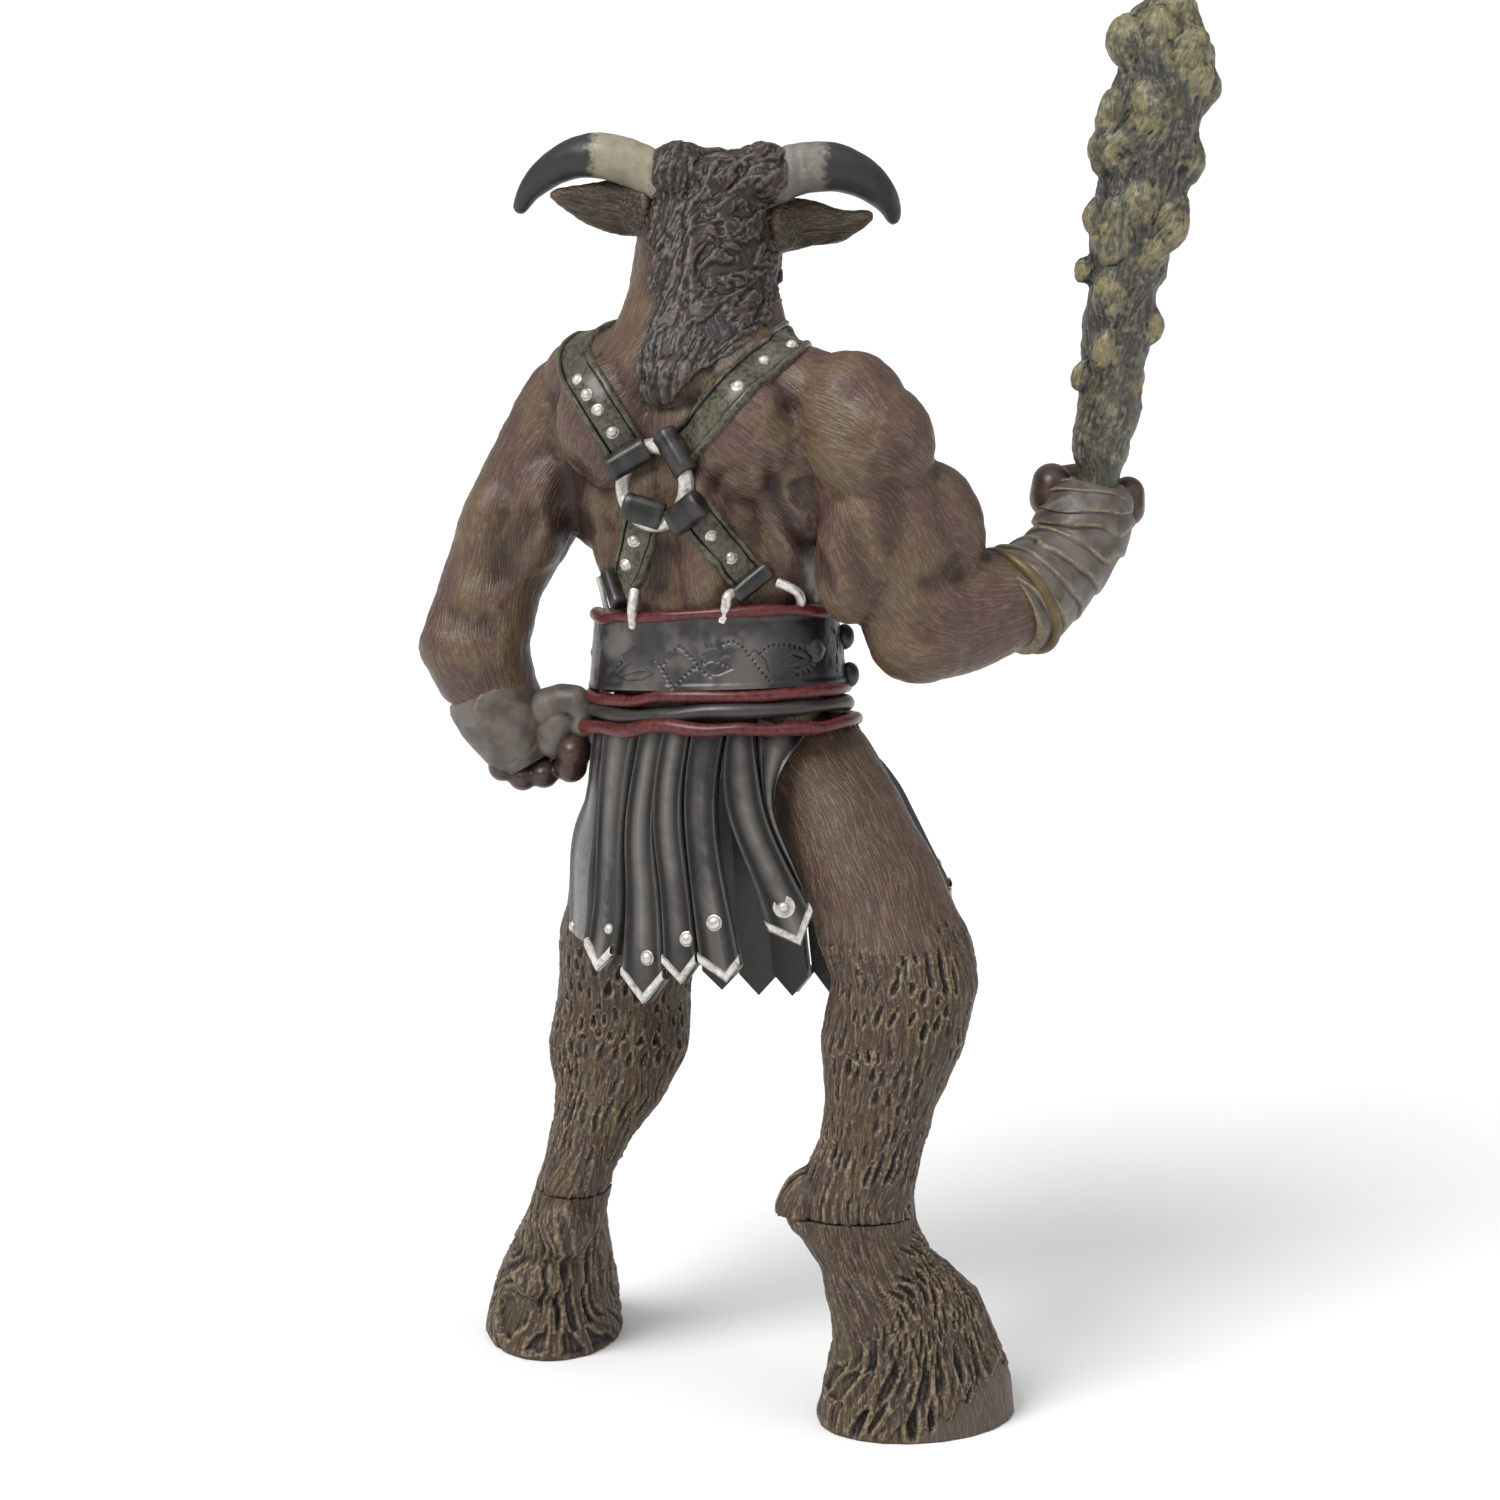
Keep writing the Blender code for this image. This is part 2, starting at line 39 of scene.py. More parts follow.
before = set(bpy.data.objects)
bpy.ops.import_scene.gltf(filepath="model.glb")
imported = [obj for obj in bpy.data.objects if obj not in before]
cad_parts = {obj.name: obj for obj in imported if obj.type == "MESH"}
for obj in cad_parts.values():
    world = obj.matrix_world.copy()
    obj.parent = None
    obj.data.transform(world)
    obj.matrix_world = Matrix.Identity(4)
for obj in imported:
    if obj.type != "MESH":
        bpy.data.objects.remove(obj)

MM = 0.001
FIGURE_AT = Vector((-5.79, -4.48, 0.0))  # where the figure's own origin lies in the frame
CHEST_YAW = -30
TRUNK_TURN = (0, 0, CHEST_YAW)
TRUNK_BASE = Vector((-3.0, 0.5, 67.0))
TRUNK_LEAN = (-0.035, 0.07)
FACE_MIDDLE = -3.9  # the side of the head's middle

# Voxels that the small pieces are fused at
HAND_GRAIN = 0.26 * MM
CLUB_GRAIN = 0.24 * MM
HORN_GRAIN = 0.22 * MM
FINE_GRAIN = 0.2 * MM
FORM_RINGS = 50  # rings of neighbours that level out all but the muscles and knobs

# The photo's view: pixels of the 1500 by 1500 picture are turned to rays of this camera.
PICTURE = 1500
LENS = 100.0
SENSOR = 36.0
CAMERA_FAR = 416.67
CAMERA_HEIGHT = 65.4
CAMERA_TILT = 13


def linear(text):
    """sRGB hex to the linear colour that Blender uses."""
    found = []
    for i in (1, 3, 5):
        c = int(text[i : i + 2], 16) / 255
        found.append(c / 12.92 if c <= 0.04045 else ((c + 0.055) / 1.055) ** 2.4)
    return (*found, 1.0)


def colour(name, description, text):
    return bpy.props.FloatVectorProperty(
        name=name, description=description, subtype="COLOR", size=4, min=0, max=1, default=linear(text)
    )


def length(name, description, value):
    return bpy.props.FloatProperty(name=name, description=description, default=value * MM, subtype="DISTANCE")


class MinotaurSizes(bpy.types.PropertyGroup):
    skin_grain: length("Skin grain", "Size of the voxels that the skin is fused at", 0.345)
    fur_grain: length("Fur grain", "Size of the voxels that fur and mane are fused at", 0.26)
    strap_width: length("Strap width", "Width of the harness straps", 4.0)
    strap_proud: length("Strap thickness", "How far a strap stands off the skin", 0.62)
    ring_radius: length("Ring radius", "Radius of the harness ring", 3.8)
    ring_wire: length("Ring wire", "Radius of the ring's wire", 0.78)
    strip_width: length("Strip width", "Width of a strip of the skirt", 3.7)
    strip_thickness: length("Strip thickness", "Thickness of a strip of the skirt", 0.75)
    fur_depth: length("Fur depth", "Depth of the grooves in the fur", 0.42)
    bark_depth: length("Bark depth", "Depth of the grooves in the club", 0.45)


class MinotaurPaints(bpy.types.PropertyGroup):
    skin: colour("Skin", "Warm brown of the bare skin", "#513C36")
    skin_olive: colour("Skin, olive", "Olive tan brushed over the muscles", "#5F5038")
    # Also the colour of the painted shade laid in the skin's broad hollows and creases.
    skin_shade: colour("Skin, shade", "Purple brown wash in the hollows", "#2C1D1A")
    skin_light: colour("Skin, light", "Pale dry brush on the hair strokes", "#9A8878")
    fur: colour("Fur", "Brown of the furred legs", "#3F3029")
    fur_shade: colour("Fur, shade", "Dark wash between the tufts", "#120B09")
    fur_light: colour("Fur, light", "Tan dry brush on the tufts", "#94826B")
    mane: colour("Mane", "Grey black of the mane", "#2A2625")
    mane_light: colour("Mane, light", "Grey dry brush on the locks", "#77716B")
    leather: colour("Leather", "Black paint of straps, belt and strips", "#1C1A1B")
    leather_light: colour("Leather, light", "Grey dry brush on leather edges", "#66635C")
    red: colour("Red", "Dark red of the belt's rolls", "#4C1719")
    silver: colour("Silver", "Silver paint of studs, ring and trims", "#C9C4C0")
    horn_pale: colour("Horn, pale", "Ivory at the root of a horn", "#8B8571")
    horn_dark: colour("Horn, dark", "Black of the horn's tip", "#2C2A2B")
    wrap: colour("Wrap", "Grey of the forearm wraps", "#645D58")
    gold: colour("Gold", "Dull gold of the arm band", "#584A30")
    wood: colour("Wood", "Dark grey brown of the bark", "#3A3A38")
    wood_light: colour("Wood, light", "Olive tan of the knobs", "#A89F80")
    hoof: colour("Hoof", "Grey brown of the hooves", "#54473F")


def sizes():
    return bpy.context.scene.minotaur_sizes


def paints():
    return bpy.context.scene.minotaur_paints


# Places

def place(x, y, z):
    return (Vector((x, y, z)) + FIGURE_AT) * MM


def trunk(side, forward, height):
    """A point of the trunk in millimetres: side is towards the figure's right, forward towards the chest."""
    rise = height - TRUNK_BASE.z
    offset = Vector((side, forward, 0))
    offset.rotate(Euler((0, 0, math.radians(CHEST_YAW))))
    return TRUNK_BASE + offset + Vector((TRUNK_LEAN[0] * rise, TRUNK_LEAN[1] * rise, rise))


def camera_frame():
    tilt = math.radians(CAMERA_TILT)
    ahead = Vector((0, math.cos(tilt), -math.sin(tilt)))
    target = (Vector((0, 0, CAMERA_HEIGHT)) + FIGURE_AT) * MM
    return target - ahead * CAMERA_FAR * MM, ahead, Vector((0, math.sin(tilt), math.cos(tilt)))


def ray_of(px, py):
    """Start and direction of the line of sight through a pixel of the photo."""
    start, ahead, up = camera_frame()
    focal = PICTURE * LENS / SENSOR
    way = ahead + Vector((1, 0, 0)) * ((px - PICTURE / 2) / focal) + up * ((PICTURE / 2 - py) / focal)
    return start, way.normalized()


def spot_at(px, py, forward):
    """The place of the figure, in millimetres, that a pixel of the photo shows at this distance forward."""
    start, way = ray_of(px, py)
    far = ((forward + FIGURE_AT.y) * MM - start.y) / way.y
    return tuple((start + way * far) / MM - FIGURE_AT)


def pixels_of(points):
    """The photo's pixels at which places of the figure, in millimetres, lie."""
    start, ahead, up = camera_frame()
    off = (np.asarray(points) + np.array(FIGURE_AT)) * MM - np.array(start)
    deep = off @ np.array(ahead)
    focal = PICTURE * LENS / SENSOR
    return PICTURE / 2 + focal * off[:, 0] / deep, PICTURE / 2 - focal * (off @ np.array(up)) / deep


# Modelling as by hand

def only(objs):
    bpy.ops.object.select_all(action="DESELECT")
    for obj in objs:
        obj.select_set(True)
    bpy.context.view_layer.objects.active = objs[0]


def rounded(centre, radii, turn=(0, 0, 0), detail=3):
    """An ellipsoid at a place of the figure, in millimetres."""
    radii = radii if isinstance(radii, tuple) else (radii,) * 3
    bpy.ops.object.select_all(action="DESELECT")
    bpy.ops.mesh.primitive_ico_sphere_add(
        subdivisions=detail, radius=MM, location=place(*centre), scale=radii,
        rotation=[math.radians(a) for a in turn],
    )
    return bpy.context.object


def joined(objs, name):
    only(objs)
    if len(objs) > 1:
        bpy.ops.object.join()
    obj = bpy.context.object
    obj.name = obj.data.name = name
    bpy.ops.object.transform_apply(location=True, rotation=True, scale=True)
    return obj


def stretch(start, end, turn=(0, 0, 0)):
    """Two ellipsoids in one object, which fused() hulls into one stretch of a limb."""
    return joined([rounded(*start, turn), rounded(*end, turn)], "stretch")


def chain(stations, turn=(0, 0, 0)):
    return [stretch(a, b, turn) for a, b in zip(stations, stations[1:])]


def curved(stations, pieces=3):
    """More stations on a smooth curve through the given ones."""
    rows = np.array([[*centre, *np.broadcast_to(radii, 3)] for centre, radii in stations], float)
    ends = np.concatenate([[2 * rows[0] - rows[1]], rows, [2 * rows[-1] - rows[-2]]])
    found = []
    for a, b, c, d in zip(ends, ends[1:], ends[2:], ends[3:]):
        for t in np.arange(pieces) / pieces:
            bent = 2 * b + (c - a) * t + (2 * a - 5 * b + 4 * c - d) * t**2
            found.append(0.5 * (bent + (3 * b - a - 3 * c + d) * t**3))
    found.append(rows[-1])
    return [(tuple(row[:3]), tuple(np.maximum(0.2, row[3:]))) for row in found]


def on_all(objs, tool, **settings):
    """Runs one of Edit Mode's tools on all of these pieces."""
    only(objs)
    bpy.ops.object.mode_set(mode="EDIT")
    bpy.ops.mesh.select_all(action="SELECT")
    tool(**settings)
    bpy.ops.object.mode_set(mode="OBJECT")


def apply_modifier(obj, kind, **settings):
    only([obj])
    modifier = obj.modifiers.new(kind.title(), kind)
    for key, value in settings.items():
        setattr(modifier, key, value)
    bpy.ops.object.modifier_apply(modifier=modifier.name)


def fused(objs, name, grain, smoothing, more=()):
    """One skin round shapes that overlap, softened; more are shapes that aren't hulled first."""
    on_all(objs, bpy.ops.mesh.convex_hull)
    obj = joined([*objs, *more], name)
    apply_modifier(obj, "REMESH", mode="VOXEL", voxel_size=grain)
    if smoothing:
        apply_modifier(obj, "SMOOTH", iterations=smoothing, factor=0.5)
    return obj


def smooth_shaded(obj, angle=None):
    only([obj])
    if angle:
        bpy.ops.object.shade_smooth_by_angle(angle=math.radians(angle))
    else:
        bpy.ops.object.shade_smooth()


# Sculpting on the vertices

def read(obj):
    """The vertices in millimetres of the figure, and their normals."""
    count = len(obj.data.vertices)
    points, normals = np.empty(count * 3), np.empty(count * 3)
    obj.data.vertices.foreach_get("co", points)
    obj.data.vertex_normals.foreach_get("vector", normals)
    return points.reshape(-1, 3) / MM - np.array(FIGURE_AT), normals.reshape(-1, 3)


def write(obj, points):
    obj.data.vertices.foreach_set("co", ((points + np.array(FIGURE_AT)) * MM).ravel())
    obj.data.update()


def edges_of(obj):
    pairs = np.empty(len(obj.data.edges) * 2, np.int64)
    obj.data.edges.foreach_get("vertices", pairs)
    return pairs.reshape(-1, 2)


def blurred(values, pairs, times):
    """Each value moved to the mean of its neighbours', so many times over."""
    a, b = pairs.T
    count = np.maximum(1, np.bincount(pairs.ravel(), minlength=len(values)))[:, None]
    found = np.asarray(values, float).reshape(len(values), -1)
    for _ in range(times):
        total = np.stack(
            [
                np.bincount(a, found[b, k], len(found)) + np.bincount(b, found[a, k], len(found))
                for k in range(found.shape[1])
            ],
            axis=1,
        )
        found = 0.5 * found + 0.5 * total / count
    return found.reshape(np.shape(values))


def below_rings(points, normals, pairs, rings):
    """How far each point lies below its neighbours, levelled over this many rings."""
    return ((blurred(points, pairs, rings) - points) * normals).sum(axis=1)


def evened(rows, times):
    """Moves each row but the ends to the mean of itself and its neighbours, so many times over."""
    for _ in range(times):
        rows[1:-1] = (rows[:-2] + rows[1:-1] + rows[2:]) / 3


def unit(rows):
    return rows / np.linalg.norm(rows, axis=1)[:, None]


def swirled(flow, normals, amount):
    """The flow turned along the surface by an amount at each point."""
    return unit(flow + amount[:, None] * np.cross(flow, normals))


def lattice(cells, seed):
    """A number from 0 to 1 for each whole-numbered place."""
    x, y, z = (cells[:, k].astype(np.int64) for k in range(3))
    mixed = (x * 73856093) ^ (y * 19349663) ^ (z * 83492791) ^ (seed * 2654435761)
    mixed = (mixed ^ (mixed >> 13)) * 1274126177
    return ((mixed ^ (mixed >> 16)) & 0xFFFF) / 65535


def noise(points, size, seed=0):
    """Soft noise from 0 to 1 with lumps of this size."""
    at = np.asarray(points) / size
    low = np.floor(at)
    part = at - low
    part = part * part * (3 - 2 * part)
    found = np.zeros(len(at))
    for corner in range(8):
        step = np.array([corner & 1, corner >> 1 & 1, corner >> 2 & 1])
        weight = np.prod(np.where(step, part, 1 - part), axis=1)
        found += weight * lattice(low + step, seed)
    return found


def streaks(points, flow, size, reach, seed=0, taps=9):
    """Noise drawn out along the flow, evened to about 0 to 1: the lie of hair, bark or brush strokes."""
    found = np.zeros(len(points))
    for share in np.linspace(-0.5, 0.5, taps):
        found += noise(points + flow * (reach * share), size, seed)
    found /= taps
    return np.clip(0.5 + (found - found.mean()) / (5 * found.std() + 1e-9), 0, 1)


def limb_lines(points, stations, cells, tall):
    """Where each point lies on a limb: in cells round it from the front, and in cells this tall along it."""
    places = np.array([s[0] for s in stations], float)
    starts = np.concatenate([[0], np.cumsum(np.linalg.norm(np.diff(places, axis=0), axis=1))])
    nearest = np.full(len(points), 1e9)
    along, foot = np.zeros(len(points)), np.zeros((len(points), 3))
    for a, b, begun in zip(places, places[1:], starts):
        way = b - a
        share = np.clip((points - a) @ way / (way @ way), 0, 1)
        spot = a + share[:, None] * way
        far = ((points - spot) ** 2).sum(axis=1)
        closer = far < nearest
        nearest[closer], foot[closer] = far[closer], spot[closer]
        along[closer] = (begun + share * np.linalg.norm(way))[closer]
    out = points - foot
    around = (np.arctan2(out[:, 0], -out[:, 1]) / (2 * math.pi) + 0.5) * cells
    return around, along / tall


def gouges(around, along, cells, seed, wide=0.34, tall=0.44, drop=0.5):
    """Depth from 0 to 1 of drop-shaped gouges, one to a cell, in staggered rows; a raised rim is below 0."""
    depth, rim = np.zeros(len(around)), np.zeros(len(around))
    row = np.floor(along)
    for down in (-1, 0, 1):
        line = row + down
        stagger = 0.5 * np.mod(line, 2)
        column = np.floor(around - stagger)
        for over in (-1, 0, 1):
            cell = column + over
            key = np.stack([np.mod(cell, cells), line, line * 0], axis=1)
            shift, slide, size = (lattice(key, seed + k) for k in range(3))
            x = around - stagger - (cell + 0.5 + 0.5 * (shift - 0.5))
            y = along - (line + 0.5 + 0.6 * (slide - 0.5))
            half = wide * (0.65 + 0.6 * size) * np.clip(1 + drop * y / tall, 0.35, 1.4)
            inside = 1 - (x / half) ** 2 - (y / (tall * (0.7 + 0.5 * size))) ** 2
            depth = np.maximum(depth, step(inside, 0, 0.75) * (0.25 + 0.75 * shift))
            rim = np.maximum(rim, step(inside, -1.6, -0.2) * (0.3 + 0.7 * shift))
    return np.where(depth > 0, depth, 0) - 0.22 * rim * (depth <= 0)


def step(values, low, high):
    share = np.clip((values - low) / (high - low), 0, 1)
    return share * share * (3 - 2 * share)


def flow_over(points, normals, guides):
    """The direction hair lies in at each point: near guides of (place, direction), laid along the surface."""
    found = np.zeros((len(points), 3))
    for spot, way in guides:
        far = ((points - np.array(spot)) ** 2).sum(axis=1)
        found += (np.array(way, float) / np.linalg.norm(way))[None] / (far + 4)[:, None] ** 2
    found -= normals * (found * normals).sum(axis=1)[:, None]
    return found / np.maximum(1e-9, np.linalg.norm(found, axis=1))[:, None]


def chain_guides(stations):
    places = [np.array(s[0], float) for s in stations]
    return [((a + b) / 2, b - a) for a, b in zip(places, places[1:])]


def attribute(obj, name, values):
    kind = "FLOAT_VECTOR" if np.ndim(values) == 2 else "FLOAT"
    data = obj.data.attributes.new(name, kind, "POINT").data
    part = "vector" if kind == "FLOAT_VECTOR" else "value"
    data.foreach_set(part, np.asarray(values, np.float32).ravel())


def store_relief(obj, flow=None, fine=0.03, broad=0.14, rings=(2, 14)):
    """Attributes that the paints read: hollow, 1 in a groove and -1 on a ridge, and flow, the lie of hair."""
    points, normals = read(obj)
    pairs = edges_of(obj)
    near, far = (below_rings(points, normals, pairs, count) for count in rings)
    attribute(obj, "hollow", np.clip(near / fine + far / broad, -1, 1))
    if flow is not None:
        attribute(obj, "flow", flow)


# Ribbons: straps and strips that follow a path

class Ribbon:
    """A path of places with a normal at each, in metres. at() gives the place across, along and above it."""

    def __init__(self, places, normals):
        places = np.array(places, float)
        gaps = np.linalg.norm(np.diff(places, axis=0), axis=1)
        self.along = np.concatenate([[0], np.cumsum(gaps)])
        self.length = self.along[-1]
        ahead = unit(np.gradient(places, axis=0))
        normals = np.array(normals, float)
        normals = unit(normals - ahead * (normals * ahead).sum(axis=1)[:, None])
        self.places, self.ahead, self.normals = places, ahead, normals
        self.across = np.cross(normals, ahead)

    def mixed(self, values, v):
        return np.stack([np.interp(v, self.along, values[:, k]) for k in range(3)], axis=-1)

    def at(self, u, v, h):
        u, v, h = np.broadcast_arrays(np.asarray(u, float), v, h)
        over = np.minimum(v, 0) + np.maximum(v - self.length, 0)
        found = self.mixed(self.places, v) + self.mixed(self.ahead, v) * over[..., None]
        return found + self.mixed(self.across, v) * u[..., None] + self.mixed(self.normals, v) * h[..., None]

    def turned(self, v):
        """The matrix of a small piece that stands on the ribbon: X across, Y along, Z out."""
        ways = (self.across, self.ahead, self.normals)
        axes = [Vector(self.mixed(way, np.array(float(v)))).normalized() for way in ways]
        return Matrix([[axes[c][r] for c in range(3)] for r in range(3)]).to_4x4()


def grid_mesh(name, points, loop_u=False, loop_v=False, caps=False):
    """A sheet of quads through an array of points; loops join its sides, caps close its ends."""
    rows, cols = points.shape[:2]
    index = np.arange(rows * cols).reshape(rows, cols)
    if loop_u:
        index = np.concatenate([index, index[:, :1]], axis=1)
    if loop_v:
        index = np.concatenate([index, index[:1]], axis=0)
    quads = np.stack([index[:-1, :-1], index[:-1, 1:], index[1:, 1:], index[1:, :-1]], axis=-1)
    faces = quads.reshape(-1, 4).tolist()
    if caps:
        ends = np.arange(rows * cols).reshape(rows, cols)
        faces += [ends[0, ::-1].tolist(), ends[-1].tolist()]
    mesh = bpy.data.meshes.new(name)
    mesh.from_pydata(points.reshape(-1, 3).tolist(), [], faces)
    obj = bpy.data.objects.new(name, mesh)
    bpy.context.scene.collection.objects.link(obj)
    outwards(obj)
    return obj


def outwards(obj):
    on_all([obj], bpy.ops.mesh.normals_make_consistent, inside=False)


def tree_of(obj):
    return BVHTree.FromObject(obj, bpy.context.evaluated_depsgraph_get())


def seen(trees, px, py):
    """Where the line of sight through a pixel of the photo first meets a piece, and the normal there."""
    start, way = ray_of(px, py)
    hits = [hit for hit in (tree.ray_cast(start, way)[:2] for tree in trees) if hit[0]]
    if hits:
        return min(hits, key=lambda hit: (hit[0] - start).length)
    return trees[0].find_nearest(start + way * CAMERA_FAR * MM)[:2]


def pixel_path(tree, pixels, count=24, soft=4):
    """Places and normals along a line drawn on the photo, laid on a piece and pulled straight a little."""
    pixels = np.array(pixels, float)
    gaps = np.concatenate([[0], np.cumsum(np.linalg.norm(np.diff(pixels, axis=0), axis=1))])
    spots = np.linspace(0, gaps[-1], count)
    hits = [seen([tree], np.interp(s, gaps, pixels[:, 0]), np.interp(s, gaps, pixels[:, 1])) for s in spots]
    places, normals = (np.array([h[k] for h in hits]) for k in (0, 1))
    evened(places, soft)
    evened(normals, 6)
    return places, normals


def wire(name, places, radius):
    """A round wire through places in metres, as a curve made a mesh."""
    curve = bpy.data.curves.new(name, "CURVE")
    curve.dimensions = "3D"
    curve.bevel_depth = radius
    curve.bevel_resolution = 4
    curve.use_fill_caps = True
    spline = curve.splines.new("NURBS")
    spline.points.add(len(places) - 1)
    for point, spot in zip(spline.points, places):
        point.co = (*spot, 1)
    spline.use_endpoint_u = True
    spline.order_u = 3
    spline.resolution_u = 8
    obj = bpy.data.objects.new(name, curve)
    bpy.context.scene.collection.objects.link(obj)
    only([obj])
    bpy.ops.object.convert(target="MESH")
    return bpy.context.object


def dome(at, turned, radius, height, collar=1.35):
    """A domed stud with a thin collar round its foot."""
    steps = np.linspace(0, math.pi / 2, 6)
    profile = [(radius * collar, -height * 0.6), (radius * collar, height * 0.16)]
    profile.append((radius * 1.02, height * 0.22))
    profile += [(radius * math.cos(a), height * (0.22 + 0.78 * math.sin(a))) for a in steps[:-1]]
    profile.append((radius * 0.06, height))
    around = np.linspace(0, 2 * math.pi, 15)[:-1]
    points = np.array([[(r * math.cos(a), r * math.sin(a), z) for a in around] for r, z in profile])
    flat = points.reshape(-1, 3) @ np.array(turned.to_3x3()).T + np.array(at)
    return grid_mesh("stud", flat.reshape(points.shape), loop_u=True, caps=True)


def stud_seen(trees, px, py, radius, height, collar=1.35):
    """A stud on the piece that a pixel of the photo shows, radius and height in millimetres."""
    hit, normal = seen(trees, px, py)
    turned = normal.to_track_quat("Z", "Y").to_matrix()
    return dome(hit - normal * 0.1 * MM, turned, radius * MM, height * MM, collar)


def finish_piece(obj, name, paint, node="minotaur", angle=None):
    """Names, shades and paints a piece, attaches it to the root and hides the CAD part that it stands for."""
    obj.name = obj.data.name = name
    smooth_shaded(obj, angle)
    obj.data.materials.clear()
    obj.data.materials.append(material(paint))
    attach(obj, "root")
    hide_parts(node)


# Paints

def node(tree, kind, inputs=None, **settings):
    """Adds a node with its settings and links: an input takes a socket or a value."""
    made = tree.nodes.new(kind)
    for key, value in settings.items():
        setattr(made, key, value)
    for key, value in (inputs or {}).items():
        if isinstance(value, bpy.types.NodeSocket):
            tree.links.new(value, made.inputs[key])
        else:
            made.inputs[key].default_value = value
    return made


def mixed(tree, share, first, second, blend="MIX"):
    made = node(tree, "ShaderNodeMix", {0: share, 6: first, 7: second}, data_type="RGBA", blend_type=blend)
    return made.outputs[2]


def ranged(tree, value, low, high, to_low=0.0, to_high=1.0):
    inputs = {"Value": value, "From Min": low, "From Max": high, "To Min": to_low, "To Max": to_high}
    return node(tree, "ShaderNodeMapRange", inputs).outputs["Result"]


def speckle(tree, where, size, detail=2.0, rough=0.5):
    """Noise whose lumps are this many millimetres across."""
    inputs = {"Vector": where, "Scale": 1 / (size * MM), "Detail": detail, "Roughness": rough}
    return node(tree, "ShaderNodeTexNoise", inputs).outputs["Fac"]


def drawn_out(tree, where, flow, size, reach, taps=8):
    """Noise drawn out along the flow attribute: brushed hair strokes."""
    total = None
    for i in range(taps):
        push = reach * MM * (i / (taps - 1) - 0.5)
        inputs = {0: flow, 1: (push, push, push), 2: where}
        spot = node(tree, "ShaderNodeVectorMath", inputs, operation="MULTIPLY_ADD")
        value = speckle(tree, spot.outputs[0], size, 0.0)
        total = value if total is None else node(tree, "ShaderNodeMath", {0: total, 1: value}).outputs[0]
    return ranged(tree, total, taps * 0.44, taps * 0.56)


def painted(tone):
    """A colour from its sRGB hex, or as it is."""
    return linear(tone) if isinstance(tone, str) else tone


MOTTLE = 0.5  # clumps of pigment in a hand-laid coat
SMOOTH_COAT = 0.01  # a coat with less bump than this has no mottle


def hand_paint(
    name, base, patch, wash, brush, roughness, metallic=0.0, patch_size=4.0, stroke=None, wash_share=1.0,
    brush_share=0.6, bump=0.02, ridge_from=0.15, masks=(), sheen=0.4, brushed=False,
):
    """Paint on moulded plastic: a patchy base coat, a dark wash in the hollows, a pale dry brush on top."""
    base, patch, wash, brush = (painted(tone) for tone in (base, patch, wash, brush))
    material = bpy.data.materials.new(name)
    material.use_nodes = True
    tree = material.node_tree
    shader = tree.nodes["Principled BSDF"]
    where = node(tree, "ShaderNodeTexCoord").outputs["Object"]
    hollow = node(tree, "ShaderNodeAttribute", attribute_name="hollow").outputs["Fac"]
    flow = node(tree, "ShaderNodeAttribute", attribute_name="flow").outputs["Vector"] if stroke else None
    if brushed:
        cloud = drawn_out(tree, where, flow, patch_size, patch_size * 1.6, 5)
    else:
        cloud = ranged(tree, speckle(tree, where, patch_size), 0.38, 0.62)
    tone = mixed(tree, cloud, base, patch)
    mottle = speckle(tree, where, MOTTLE, 3.0, 0.6)
    height = mottle
    for attribute_name, over in masks:
        share = node(tree, "ShaderNodeAttribute", attribute_name=attribute_name).outputs["Fac"]
        tone = mixed(tree, share, tone, painted(over))
    if stroke:
        size, reach, share = stroke
        lines = drawn_out(tree, where, flow, size, reach)
        both = node(tree, "ShaderNodeMath", {0: mottle, 1: 0.6, 2: lines}, operation="MULTIPLY_ADD")
        height = both.outputs[0]
        tone = mixed(tree, ranged(tree, lines, 0.5, 0.0, 0.0, share), tone, wash)
        tone = mixed(tree, ranged(tree, lines, 0.62, 1.0, 0.0, share), tone, brush)
    deep = ranged(tree, hollow, 0.05, 0.75, 0.0, wash_share)
    tone = mixed(tree, deep, tone, wash)
    ridge = ranged(tree, hollow, -ridge_from, -0.85, 0.0, brush_share)
    rubbed = ranged(tree, mottle, 0.35, 0.6, 0.0 if bump > SMOOTH_COAT else 0.7)
    scuffed = node(tree, "ShaderNodeMath", {0: ridge, 1: rubbed}, operation="MULTIPLY")
    tone = mixed(tree, scuffed.outputs[0], tone, brush)
    tree.links.new(tone, shader.inputs["Base Color"])
    uneven = ranged(tree, mottle, 0.3, 0.7, roughness - 0.06, roughness + 0.08)
    tree.links.new(uneven, shader.inputs["Roughness"])
    shader.inputs["Metallic"].default_value = metallic
    shader.inputs["Specular IOR Level"].default_value = sheen
    bumped = node(tree, "ShaderNodeBump", {"Height": height, "Distance": bump * MM, "Strength": 1.0})
    tree.links.new(bumped.outputs[0], shader.inputs["Normal"])
    return material


